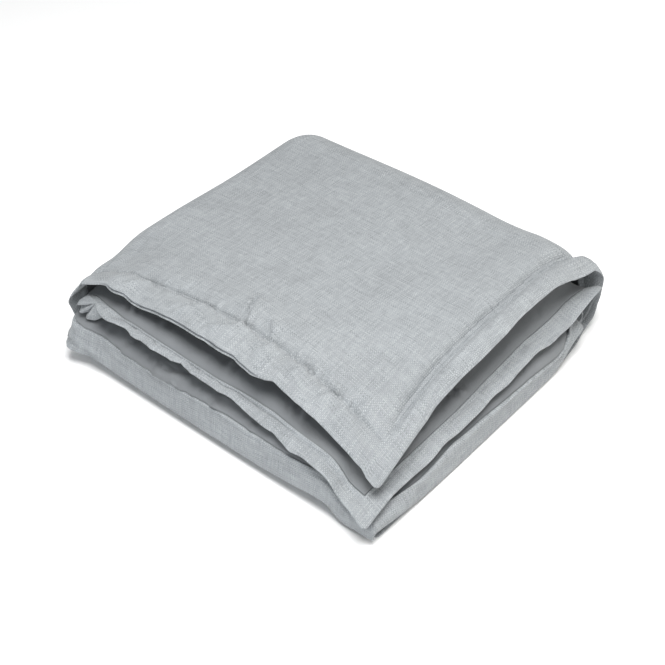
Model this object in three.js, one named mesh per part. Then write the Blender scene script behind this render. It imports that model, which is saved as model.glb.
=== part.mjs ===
import * as THREE from "three";

// A padded bedspread folded three times into a soft pile of eight layers: doubled lengthwise, turned under
// at the back, then doubled again to the right. X runs to the right, Y to the back and Z up. Sizes in mm.

// The sheet: a face cloth with its wadding, hemmed all round, and a smooth lining set inside the hem.
const HEM_WIDTH = 37;
const SEAM_THICK = 3;
const HEM_PUFF = 1.4;
const HEM_PUFF_SHAPE = 0.6;
const PAD_THICK = 12;
const PAD_RISE = 42;
const PAD_ROUNDING = 2.2;
const LINING_THICK = 1.2;
const LINING_SET_BACK = 0.5;
const PANEL_GAP = 0.4;
const HEM_STEP = 1.5;
const FACE_COLOUR = 0xadb1b4;
const LINING_COLOUR = 0x85898c;
const FACE_ROUGHNESS = 0.95;
const LINING_ROUGHNESS = 0.8;

// The pile: where its folds start, and how much cloth each fold takes.
const BACK_FOLD_Y = 508;
const RIGHT_FOLD_X = 454;
const LEFT_FOLD_X = 15;
const BACK_FOLD_CLOTH = 62;
const RIGHT_FOLD_CLOTH = 108;
const LEFT_FOLD_CLOTH = 30;
const BACK_FOLD_SQUARENESS = 0.92;
const RIGHT_FOLD_SQUARENESS = 0.75;
const LEFT_FOLD_REACH = 12;
const BACK_FOLD_SQUEEZE = 0.22;
const RIGHT_FOLD_SQUEEZE = 0.25;
const LEFT_FOLD_SQUEEZE = 0.45;
const LAYER_SOFTNESS = 6;
const REST_FLAT = 0.4;
const CENTRE_X = 259.2;
const CENTRE_Y = 274.4;

// Plan lines at which the heights and the hem positions below are given.
const X_LINES = [0, 200, RIGHT_FOLD_X];
const Y_LINES = [0, 200, BACK_FOLD_Y];

// The layer that hangs over the left and front sides of the pile.
const DRAPE_X = 8;
const DRAPE_Y = 6;
const DRAPE_RADIUS = 10;
const DRAPE_FOOT = 2.5;
const DRAPE_FOOT_SOFTNESS = 6;
const DRAPE_END_X = [385, 465];
const DRAPE_END_Y = [480, 530];
const DRAPE_END_EDGE = -9;

// The dip of the lining layer along its front stitch line.
const DIP_DEPTH = 12;
const DIP_WIDTH = 26;
const DIP_START_X = 120;

const UPPER = 0;
const LOWER = 1;
const OUTER_PLY = 0;
const INNER_PLY = 1;
const FRONT_HALF = 0;
const BACK_HALF = 1;

// The layers from the bottom up, each with the height at which it would lie freely: along the front
// (near corner, middle, right corner), across the middle and along the back (left end, middle, back corner).
const HEIGHT_COLUMNS = [
  "ply", "half", "deck", "near", "front", "right", "left", "core", "side", "leftEnd", "rear", "back",
];
const HEIGHT_ROWS = [
  [OUTER_PLY, FRONT_HALF, LOWER, 0, 0, 0, 0, 0, 0, 0, 0, 0],
  [INNER_PLY, FRONT_HALF, LOWER, 7, 10, 14, 20, 20, 22, 24, 22, 22],
  [INNER_PLY, BACK_HALF, LOWER, 13, 19, 26, 34, 34, 38, 38, 36, 36],
  [OUTER_PLY, BACK_HALF, LOWER, 18, 29, 33, 48, 52, 54, 53, 50, 50],
  [OUTER_PLY, BACK_HALF, UPPER, 23, 44, 50, 61, 74, 76, 66, 69, 68],
  [INNER_PLY, BACK_HALF, UPPER, 27, 50, 66, 70, 95, 94, 82, 88, 82],
  [INNER_PLY, FRONT_HALF, UPPER, 32, 60, 86, 93, 117, 112, 112, 109, 100],
  [OUTER_PLY, FRONT_HALF, UPPER, 40, 129, 134, 145, 146, 125, 126, 134, 103],
];

// The same layers' edges: x of the left edge at the three Y lines, y of the front hem at the three X lines,
// how far its right and back folds reach, the air it keeps beneath it, and whether it hangs over the sides
// of the pile or dips along its front seam.
const EDGE_COLUMNS = ["x0", "x1", "x2", "y0", "y1", "y2", "rightReach", "backReach", "air", "hangs", "dips"];
const EDGE_ROWS = [
  [19, 22, 20, 0, 0, 0, 68, 42, 0, false, false],
  [19, 22, 20, 5, 7, 10, 50, 16, 1.8, false, false],
  [25, 26, 25, 3, 5, 10, 31, 16, 1.8, false, false],
  [25, 26, 25, 13, 11, 9, 12, 42, 1.8, false, false],
  [-18, -40, -40, -6, -40, -38, 12, 34, 7, true, false],
  [14, 38, 38, 12, 14, 16, 31, 12, 5.5, false, false],
  [-8, -2, -4, 4, -1, 0, 50, 12, 6, false, true],
  [28, 29, 14, 16, 17, 17, 68, 34, 4.5, false, false],
];

// The lines along which the sheet is divided.
const HEM_LINES = [0, 4, 33, HEM_WIDTH, HEM_WIDTH + HEM_STEP, 48, 62, 84, 118];
const LINING_CLEARANCE = 0.4;
const FRONT_HALF_STEPS = 5;
const BACK_HALF_STEPS = 4;
const BACK_FOLD_STEPS = 6;
const UPPER_STEPS = 4;
const LOWER_STEPS = 4;
const OUTER_FOLD_STEPS = 8;
const LEFT_FOLD_STEPS = 5;
const INNER_FOLD_STEPS = 7;
const NORMAL_STEP = 0.4;
const FOLD_BLEND = 0.45;

const LOWER_RUN = RIGHT_FOLD_X - LEFT_FOLD_X;
const SHEET_WIDTH = 2 * BACK_FOLD_Y + BACK_FOLD_CLOTH;
const SHEET_LENGTH = 2 * RIGHT_FOLD_X + 2 * LOWER_RUN + 2 * RIGHT_FOLD_CLOTH + LEFT_FOLD_CLOTH;

function named(columns, row) {
  return Object.fromEntries(columns.map((name, index) => [name, row[index]]));
}

const LAYERS = HEIGHT_ROWS.map((row, index) => ({
  index,
  ...named(HEIGHT_COLUMNS, row),
  ...named(EDGE_COLUMNS, EDGE_ROWS[index]),
}));

function clamp(value, low, high) {
  return Math.min(Math.max(value, low), high);
}

function ease(value) {
  const x = clamp(value, 0, 1);
  return x * x * (3 - 2 * x);
}

// The larger of two heights, with the change from one to the other rounded off.
function softLarger(a, b, softness) {
  const share = clamp(0.5 + (0.5 * (a - b)) / softness, 0, 1);
  return b + (a - b) * share + softness * share * (1 - share);
}

// A smooth curve through three values given at three lines.
function curve(at, lines, values) {
  const [x0, x1, x2] = lines;
  const [p0, p1, p2] = values;
  const first = x1 - x0;
  const second = x2 - x1;
  const slope0 = (p1 - p0) / first;
  const slope1 = (p2 - p1) / second;
  const middle = (slope0 * second + slope1 * first) / (first + second);
  const start = 1.5 * slope0 - 0.5 * middle;
  const end = 1.5 * slope1 - 0.5 * middle;
  const x = clamp(at, x0, x2);
  const inFirst = x < x1;
  const run = inFirst ? first : second;
  const t = inFirst ? (x - x0) / first : (x - x1) / second;
  const a = inFirst ? p0 : p1;
  const b = inFirst ? p1 : p2;
  const slopeA = (inFirst ? start : middle) * run;
  const slopeB = (inFirst ? middle : end) * run;
  const t2 = t * t;
  const t3 = t2 * t;
  return (2 * t3 - 3 * t2 + 1) * a + (t3 - 2 * t2 + t) * slopeA + (3 * t2 - 2 * t3) * b + (t3 - t2) * slopeB;
}

function freeHeight(layer, x, y) {
  const front = curve(x, X_LINES, [layer.near, layer.front, layer.right]);
  const middle = curve(x, X_LINES, [layer.left, layer.core, layer.side]);
  const rear = curve(x, X_LINES, [layer.leftEnd, layer.rear, layer.back]);
  return curve(y, Y_LINES, [front, middle, rear]);
}

// The edges of the layer that hangs over the pile are drawn in again towards the folds.
function drawnIn(layer, edge, at, [from, to]) {
  return layer.hangs ? edge + (DRAPE_END_EDGE - edge) * ease((at - from) / (to - from)) : edge;
}

function leftEdge(layer, y) {
  return drawnIn(layer, curve(y, Y_LINES, [layer.x0, layer.x1, layer.x2]), y, DRAPE_END_Y);
}

function frontEdge(layer, x) {
  return drawnIn(layer, curve(x, X_LINES, [layer.y0, layer.y1, layer.y2]), x, DRAPE_END_X);
}

// Thickness of the sheet at a distance from its nearest edge: a flat hem, a stitch line, then the padding.
function thicknessAt(distance) {
  const d = Math.max(distance, 0);
  if (d < HEM_WIDTH) {
    return SEAM_THICK + HEM_PUFF * Math.sin((Math.PI * d) / HEM_WIDTH) ** HEM_PUFF_SHAPE;
  }
  const x = clamp((d - HEM_WIDTH) / PAD_RISE, 0, 1);
  return SEAM_THICK + (PAD_THICK - SEAM_THICK) * (1 - (1 - x) ** PAD_ROUNDING);
}

function layerThickness(layer, x, y) {
  const fromFront = y - frontEdge(layer, x);
  const fromLeft = layer.deck === UPPER ? x - leftEdge(layer, y) : fromFront;
  return thicknessAt(Math.min(fromFront, fromLeft));
}

// Height of a layer's middle in the pile: where it lies freely, or on the layer beneath it.
function pileHeight(target, x, y) {
  let height = 0;
  let thick = 0;
  for (const layer of LAYERS.slice(0, target.index + 1)) {
    const own = layerThickness(layer, x, y);
    if (layer.index === 0) {
      height = own / 2;
    } else {
      let free = freeHeight(layer, x, y);
      if (layer.dips) {
        const fromSeam = (y - frontEdge(layer, x) - HEM_WIDTH) / DIP_WIDTH;
        free -= DIP_DEPTH * Math.exp(-fromSeam * fromSeam) * ease(x / DIP_START_X);
      }
      height = softLarger(free, height + (own + thick) / 2 + layer.air, LAYER_SOFTNESS);
    }
    thick = own;
  }
  return height;
}

// Sideways run and drop of cloth that goes on over an edge of the pile.
function hang(over) {
  const length = Math.max(over, 0);
  const angle = Math.min(length / DRAPE_RADIUS, Math.PI / 2);
  const rest = Math.max(length - (DRAPE_RADIUS * Math.PI) / 2, 0);
  return { run: DRAPE_RADIUS * Math.sin(angle), drop: DRAPE_RADIUS * (1 - Math.cos(angle)) + rest };
}

// Where a flat point of the sheet lies within the folds.
function foldPosition(s, t) {
  const back = Math.PI * clamp((s - BACK_FOLD_Y) / BACK_FOLD_CLOTH, 0, 1);
  const y = Math.min(s, SHEET_WIDTH - s, BACK_FOLD_Y);
  const fromEnd = Math.min(t, SHEET_LENGTH - t);
  const right = Math.PI * clamp((fromEnd - RIGHT_FOLD_X) / RIGHT_FOLD_CLOTH, 0, 1);
  let x = Math.min(fromEnd, RIGHT_FOLD_X);
  if (fromEnd > RIGHT_FOLD_X + RIGHT_FOLD_CLOTH) {
    x = Math.max(2 * RIGHT_FOLD_X + RIGHT_FOLD_CLOTH - fromEnd, LEFT_FOLD_X);
  }
  const leftStart = (SHEET_LENGTH - LEFT_FOLD_CLOTH) / 2;
  const left = Math.PI * clamp((t - leftStart) / LEFT_FOLD_CLOTH, 0, 1);
  return { x, y, back, right, left };
}

function squared(angle, power) {
  const cosine = Math.cos(angle);
  return Math.sign(cosine) * Math.abs(cosine) ** power;
}

// A point of one flat layer of the pile.
function layerPoint(layer, flatX, flatY) {
  const fadeX = 1 - ease(flatX / RIGHT_FOLD_X);
  const fadeY = 1 - ease(flatY / BACK_FOLD_Y);
  const start = layer.deck === UPPER ? 0 : LEFT_FOLD_X;
  const x = flatX + (leftEdge(layer, flatY) - start) * fadeX;
  const y = flatY + frontEdge(layer, x) * fadeY;
  if (!layer.hangs) {
    return new THREE.Vector3(x, y, pileHeight(layer, x, y));
  }
  const overLeft = hang(DRAPE_X - x);
  const overFront = hang(DRAPE_Y - y);
  const top = pileHeight(layer, Math.max(x, DRAPE_X), Math.max(y, DRAPE_Y));
  const height = top - Math.hypot(overLeft.drop, overFront.drop);
  return new THREE.Vector3(
    Math.max(x, DRAPE_X) - overLeft.run,
    Math.max(y, DRAPE_Y) - overFront.run,
    softLarger(height, DRAPE_FOOT, DRAPE_FOOT_SOFTNESS),
  );
}

// The middle of the folded sheet, blended between layers where it turns from one into the next.
function middlePoint(s, t) {
  const fold = foldPosition(s, t);
  const backTurn = squared(fold.back, BACK_FOLD_SQUARENESS);
  const rightTurn = squared(fold.right, RIGHT_FOLD_SQUARENESS);
  const leftTurn = Math.cos(fold.left);
  const point = new THREE.Vector3();
  let rightReach = 0;
  let backReach = 0;
  for (const layer of LAYERS) {
    const halfShare = (1 + (layer.half === FRONT_HALF ? backTurn : -backTurn)) / 2;
    const deckShare = (1 + (layer.deck === UPPER ? rightTurn : -rightTurn)) / 2;
    const plyShare = (1 + (layer.ply === OUTER_PLY ? leftTurn : -leftTurn)) / 2;
    const share = halfShare * deckShare * plyShare;
    if (share > 0) {
      point.addScaledVector(layerPoint(layer, fold.x, fold.y), share);
      rightReach += share * layer.rightReach;
      backReach += share * layer.backReach;
    }
  }
  point.x += rightReach * Math.sin(fold.right) - LEFT_FOLD_REACH * Math.sin(fold.left);
  point.y += backReach * Math.sin(fold.back);
  return point;
}

function hemDistance(s, t) {
  return Math.min(s, SHEET_WIDTH - s, t, SHEET_LENGTH - t);
}

function sheetThickness(s, t) {
  const fold = foldPosition(s, t);
  const squeeze = BACK_FOLD_SQUEEZE * Math.sin(fold.back)
    + RIGHT_FOLD_SQUEEZE * Math.sin(fold.right)
    + LEFT_FOLD_SQUEEZE * Math.sin(fold.left);
  return thicknessAt(hemDistance(s, t)) * (1 - squeeze);
}

// The direction from the middle of the sheet to its face side: plumb in the layers, square to the folds.
function faceDirection(s, t) {
  const before = middlePoint(Math.max(s - NORMAL_STEP, 0), t);
  const after = middlePoint(Math.min(s + NORMAL_STEP, SHEET_WIDTH), t);
  const earlier = middlePoint(s, Math.max(t - NORMAL_STEP, 0));
  const later = middlePoint(s, Math.min(t + NORMAL_STEP, SHEET_LENGTH));
  const across = after.sub(before);
  const along = later.sub(earlier);
  const square = along.cross(across).normalize();
  const plumb = new THREE.Vector3(0, 0, Math.sign(square.z));
  return plumb.lerp(square, ease(foldShare(s, t) / FOLD_BLEND)).normalize();
}

function foldShare(s, t) {
  const fold = foldPosition(s, t);
  const folded = Math.max(Math.sin(fold.back), Math.sin(fold.right), Math.sin(fold.left));
  const hanging = LAYERS.find((layer) => layer.hangs);
  const inHanging = fold.back > Math.PI / 2 && fold.right < Math.PI / 2 && fold.left < Math.PI / 2;
  if (!inHanging) {
    return folded;
  }
  const overLeft = DRAPE_X - fold.x - leftEdge(hanging, fold.y);
  const overFront = DRAPE_Y - fold.y - frontEdge(hanging, fold.x);
  return Math.max(folded, clamp(Math.max(overLeft, overFront) / DRAPE_RADIUS, 0, 1));
}

function stepsBetween(from, to, count) {
  return Array.from({ length: count }, (_, step) => from + ((to - from) * (step + 1)) / count);
}

function joinedLines(length, hem, stretches) {
  const lines = [...hem];
  for (const { to, steps } of stretches) {
    lines.push(...stepsBetween(lines[lines.length - 1], to, steps));
  }
  const farHem = hem.map((distance) => length - distance).reverse();
  return lines.slice(0, -1).concat(farHem);
}

function widthLines(hem) {
  const inner = hem[hem.length - 1];
  return joinedLines(SHEET_WIDTH, hem, [
    { to: BACK_FOLD_Y, steps: FRONT_HALF_STEPS },
    { to: BACK_FOLD_Y + BACK_FOLD_CLOTH, steps: BACK_FOLD_STEPS },
    { to: SHEET_WIDTH - inner, steps: BACK_HALF_STEPS },
  ]);
}

function lengthLines(hem) {
  const inner = hem[hem.length - 1];
  const half = SHEET_LENGTH / 2;
  const lowerStart = RIGHT_FOLD_X + RIGHT_FOLD_CLOTH;
  return joinedLines(SHEET_LENGTH, hem, [
    { to: RIGHT_FOLD_X, steps: UPPER_STEPS },
    { to: lowerStart, steps: OUTER_FOLD_STEPS },
    { to: half - LEFT_FOLD_CLOTH / 2, steps: LOWER_STEPS },
    { to: half + LEFT_FOLD_CLOTH / 2, steps: LEFT_FOLD_STEPS },
    { to: SHEET_LENGTH - lowerStart, steps: LOWER_STEPS },
    { to: SHEET_LENGTH - RIGHT_FOLD_X, steps: INNER_FOLD_STEPS },
    { to: SHEET_LENGTH - inner, steps: UPPER_STEPS },
  ]);
}

// A closed panel of the folded sheet between two offsets from its middle.
function closedPanel(across, along, faceSide, liningSide) {
  const columns = along.length;
  const count = across.length * columns;
  const corners = [[], []];
  for (const s of across) {
    for (const t of along) {
      const middle = middlePoint(s, t);
      const direction = faceDirection(s, t);
      [faceSide(s, t), liningSide(s, t)].forEach((offset, side) => {
        const corner = middle.clone().addScaledVector(direction, offset);
        const height = corner.z < REST_FLAT ? 0 : corner.z;
        corners[side].push(corner.x - CENTRE_X, corner.y - CENTRE_Y, height);
      });
    }
  }
  const triangles = [];
  const quad = (a, b, c, d) => triangles.push(a, b, c, a, c, d);
  const at = (i, j) => i * columns + j;
  const lastRow = across.length - 1;
  const lastColumn = columns - 1;
  for (let i = 0; i < lastRow; i += 1) {
    for (let j = 0; j < lastColumn; j += 1) {
      quad(at(i, j), at(i, j + 1), at(i + 1, j + 1), at(i + 1, j));
      quad(at(i, j) + count, at(i + 1, j) + count, at(i + 1, j + 1) + count, at(i, j + 1) + count);
    }
    quad(at(i, 0), at(i + 1, 0), at(i + 1, 0) + count, at(i, 0) + count);
    quad(at(i + 1, lastColumn), at(i, lastColumn), at(i, lastColumn) + count, at(i + 1, lastColumn) + count);
  }
  for (let j = 0; j < lastColumn; j += 1) {
    quad(at(0, j + 1), at(0, j), at(0, j) + count, at(0, j + 1) + count);
    quad(at(lastRow, j), at(lastRow, j + 1), at(lastRow, j + 1) + count, at(lastRow, j) + count);
  }
  const geometry = new THREE.BufferGeometry();
  geometry.setAttribute("position", new THREE.Float32BufferAttribute(corners.flat(), 3));
  geometry.setIndex(triangles);
  geometry.computeVertexNormals();
  return geometry;
}

function faceInside(s, t) {
  const half = sheetThickness(s, t) / 2;
  const inHem = hemDistance(s, t) < HEM_WIDTH + HEM_STEP / 2;
  return inHem ? -half : LINING_SET_BACK + LINING_THICK + PANEL_GAP - half;
}

function buildFace() {
  const halfThick = (s, t) => sheetThickness(s, t) / 2;
  const geometry = closedPanel(widthLines(HEM_LINES), lengthLines(HEM_LINES), halfThick, faceInside);
  const material = new THREE.MeshStandardMaterial({
    color: FACE_COLOUR,
    roughness: FACE_ROUGHNESS,
    metalness: 0,
  });
  const mesh = new THREE.Mesh(geometry, material);
  mesh.name = "face_cloth";
  return mesh;
}

function buildLining() {
  const edge = HEM_WIDTH + HEM_STEP + LINING_CLEARANCE;
  const lines = [edge, ...HEM_LINES.filter((distance) => distance > edge)];
  const outside = (s, t) => LINING_SET_BACK - sheetThickness(s, t) / 2;
  const inside = (s, t) => outside(s, t) + LINING_THICK;
  const geometry = closedPanel(widthLines(lines), lengthLines(lines), inside, outside);
  const material = new THREE.MeshStandardMaterial({
    color: LINING_COLOUR,
    roughness: LINING_ROUGHNESS,
    metalness: 0,
  });
  const mesh = new THREE.Mesh(geometry, material);
  mesh.name = "lining";
  return mesh;
}

const bedspread = new THREE.Group();
bedspread.name = "bedspread";
bedspread.add(buildFace(), buildLining());

export default bedspread;
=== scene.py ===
"""The looks of a folded, padded bedspread: a slubbed face cloth, a smooth lining and a turned hem.

The cloth is cut and folded in millimetres, as its maker would measure it. The finished meshes are in metres,
in the frame of the part: X to the right, Y to the back and Z up.
"""

import logging
from dataclasses import dataclass
from enum import Enum
from typing import NamedTuple

import bpy
import numpy as np
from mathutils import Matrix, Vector


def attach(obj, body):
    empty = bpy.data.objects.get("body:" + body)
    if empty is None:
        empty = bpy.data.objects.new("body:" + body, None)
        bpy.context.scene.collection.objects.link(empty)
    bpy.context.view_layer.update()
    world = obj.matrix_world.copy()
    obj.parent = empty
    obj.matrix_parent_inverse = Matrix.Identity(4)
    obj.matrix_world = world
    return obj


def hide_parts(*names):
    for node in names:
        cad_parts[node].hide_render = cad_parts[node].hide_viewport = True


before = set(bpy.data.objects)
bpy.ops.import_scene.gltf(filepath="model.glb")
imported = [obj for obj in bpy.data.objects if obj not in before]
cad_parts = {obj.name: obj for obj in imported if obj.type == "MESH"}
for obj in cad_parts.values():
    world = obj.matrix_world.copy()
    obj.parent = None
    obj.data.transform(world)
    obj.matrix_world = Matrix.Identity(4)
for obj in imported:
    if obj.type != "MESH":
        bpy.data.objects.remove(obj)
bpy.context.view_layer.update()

LOG = logging.getLogger("bedspread")
MM = 0.001
Array = np.ndarray

TINY = 1e-9

# Each part of a wave: its share of the height and its length in wavelengths.
WAVE_PARTS = ((0.55, 1.0), (0.28, 0.57), (0.17, 1.83))
# Wavelengths over which a wave fades out, and by which its lift runs ahead of its sideways move.
WAVE_FADE = 0.6
WAVE_LEAD = 0.31

# Power that flattens the top of a puffed hem.
TUBE_SHAPE = 0.8

# Share of its length over which a crease starts or ends, and the depth that it has at that end.
CREASE_START = (0.12, 0.4)
CREASE_END = (0.55, 0.1)
# The banks beside a crease and the fullness on one side: the banks' height as a share of the depth, both
# places in half widths, and how many half widths off a crease is still felt.
BANK_HEIGHT = 0.45
BANK_PLACE = 1.9
LIP_PLACE = 2.5
CREASE_REACH = 12.0

# Ranges from which a pucker's values are drawn, as shares of its stretch's own. The width is in millimetres.
PUCKER_FIRST = (0.2, 0.8)
PUCKER_NEXT = (0.55, 1.5)
PUCKER_STRENGTH = (0.35, 1.0)
PUCKER_LENGTH = (0.45, 1.0)
PUCKER_LEAN = (-0.55, 0.55)
PUCKER_WIDTH = (2.6, 4.6)


class Ply(Enum):
    """Which half of the sheet's length a layer belongs to."""

    OUTER = "outer"
    INNER = "inner"


class Half(Enum):
    """Which half of the sheet's width a layer belongs to."""

    FRONT = "front"
    BACK = "back"


class Deck(Enum):
    """Whether a layer lies above or below the last fold."""

    UPPER = "upper"
    LOWER = "lower"


class Edge(Enum):
    """The four hemmed edges of the flat sheet."""

    WIDTH_START = "s = 0"
    WIDTH_END = "s = width"
    LENGTH_START = "t = 0"
    LENGTH_END = "t = length"


def ease(value: Array) -> Array:
    """A smooth step from 0 to 1 as value goes from 0 to 1."""
    x = np.clip(value, 0.0, 1.0)
    return x * x * (3.0 - 2.0 * x)


def soft_larger(a: Array, b: Array, softness: float) -> Array:
    """The larger of two heights, with the change between them rounded off over a height difference."""
    share = np.clip(0.5 + 0.5 * (a - b) / softness, 0.0, 1.0)
    return b + (a - b) * share + softness * share * (1.0 - share)


def curve(at: Array, lines: tuple[float, float, float], values: tuple) -> Array:
    """A smooth curve through three values given at three lines.

    Args:
        at: Where the curve is read.
        lines: The three lines, in rising order.
        values: The value at each line, a number or an array like at.

    Returns:
        The curve's values, held level beyond the outer lines.
    """
    x0, x1, x2 = lines
    p0, p1, p2 = values
    first, second = x1 - x0, x2 - x1
    slope0, slope1 = (p1 - p0) / first, (p2 - p1) / second
    middle = (slope0 * second + slope1 * first) / (first + second)
    start, end = 1.5 * slope0 - 0.5 * middle, 1.5 * slope1 - 0.5 * middle
    x = np.clip(at, x0, x2)
    near = x < x1
    run = np.where(near, first, second)
    t = np.where(near, (x - x0) / first, (x - x1) / second)
    a, b = np.where(near, p0, p1), np.where(near, p1, p2)
    slope_a = np.where(near, start, middle) * run
    slope_b = np.where(near, middle, end) * run
    t2, t3 = t * t, t * t * t
    from_a = (2 * t3 - 3 * t2 + 1) * a + (t3 - 2 * t2 + t) * slope_a
    return from_a + (3 * t2 - 2 * t3) * b + (t3 - t2) * slope_b


@dataclass(frozen=True)
class Spread:
    """The sheet itself: a padded cloth with a flat hem all round.

    Attributes are sizes in millimetres: the hem's width, the thickness at its stitch line and in its middle,
    the padding's thickness and how far from the stitch line it takes to fill, and the lining's own sizes.
    """

    hem: float = 37.0
    seam_thick: float = 3.0
    hem_puff: float = 1.4
    hem_puff_shape: float = 0.6
    pad_thick: float = 12.0
    pad_rise: float = 42.0
    pad_rounding: float = 2.2
    lining_thick: float = 1.2
    lining_set_back: float = 0.5
    panel_gap: float = 0.4
    hem_step: float = 1.5

    def thickness_at(self, distance: Array) -> Array:
        """Thickness of the sheet at a distance from its nearest edge.

        Args:
            distance: Distance from the edge.

        Returns:
            The whole thickness there.
        """
        d = np.maximum(distance, 0.0)
        band = np.sin(np.pi * np.clip(d / self.hem, 0.0, 1.0)) ** self.hem_puff_shape
        x = np.clip((d - self.hem) / self.pad_rise, 0.0, 1.0)
        pad = (self.pad_thick - self.seam_thick) * (1.0 - (1.0 - x) ** self.pad_rounding)
        return self.seam_thick + np.where(d < self.hem, self.hem_puff * band, pad)


@dataclass(frozen=True)
class Layer:
    """One flat layer of the pile.

    heights holds the height at which it would lie freely: along the front (near corner, middle, right
    corner), across the middle and along the back. left and front hold its left edge's x and its front hem's y
    at three lines each. The reaches say how far its right and back folds stand out, and air what it keeps
    beneath it. hangs marks the layer that goes on over the pile's sides, and dips the one with a hollow seam.
    """

    ply: Ply
    half: Half
    deck: Deck
    heights: tuple[float, ...]
    left: tuple[float, float, float]
    front: tuple[float, float, float]
    right_reach: float
    back_reach: float
    air: float
    hangs: bool = False
    dips: bool = False


LAYERS = (
    Layer(Ply.OUTER, Half.FRONT, Deck.LOWER, (0, 0, 0, 0, 0, 0, 0, 0, 0), (19, 22, 20), (0, 0, 0), 68, 42, 0),
    Layer(
        Ply.INNER, Half.FRONT, Deck.LOWER, (7, 10, 14, 20, 20, 22, 24, 22, 22), (19, 22, 20), (5, 7, 10),
        50, 16, 1.8,
    ),
    Layer(
        Ply.INNER, Half.BACK, Deck.LOWER, (13, 19, 26, 34, 34, 38, 38, 36, 36), (25, 26, 25), (3, 5, 10),
        31, 16, 1.8,
    ),
    Layer(
        Ply.OUTER, Half.BACK, Deck.LOWER, (18, 29, 33, 48, 52, 54, 53, 50, 50), (25, 26, 25), (13, 11, 9),
        12, 42, 1.8,
    ),
    Layer(
        Ply.OUTER, Half.BACK, Deck.UPPER, (23, 44, 50, 61, 74, 76, 66, 69, 68), (-18, -50, -50),
        (-10, -46, -44), 12, 34, 7, hangs=True,
    ),
    Layer(
        Ply.INNER, Half.BACK, Deck.UPPER, (27, 50, 66, 70, 95, 94, 82, 88, 82), (14, 38, 38), (12, 14, 16),
        31, 12, 5.5,
    ),
    Layer(
        Ply.INNER, Half.FRONT, Deck.UPPER, (32, 60, 86, 93, 117, 112, 112, 109, 100), (-8, -2, -4),
        (4, -1, 0), 50, 12, 6, dips=True,
    ),
    Layer(
        Ply.OUTER, Half.FRONT, Deck.UPPER, (40, 129, 134, 145, 146, 125, 126, 134, 103), (28, 29, 14),
        (16, 17, 17), 68, 34, 4.5,
    ),
)


class FoldPlace(NamedTuple):
    """Where a flat point lies within the folds: its plan position and the angle turned in each fold."""

    x: Array
    y: Array
    back: Array
    right: Array
    left: Array


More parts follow.
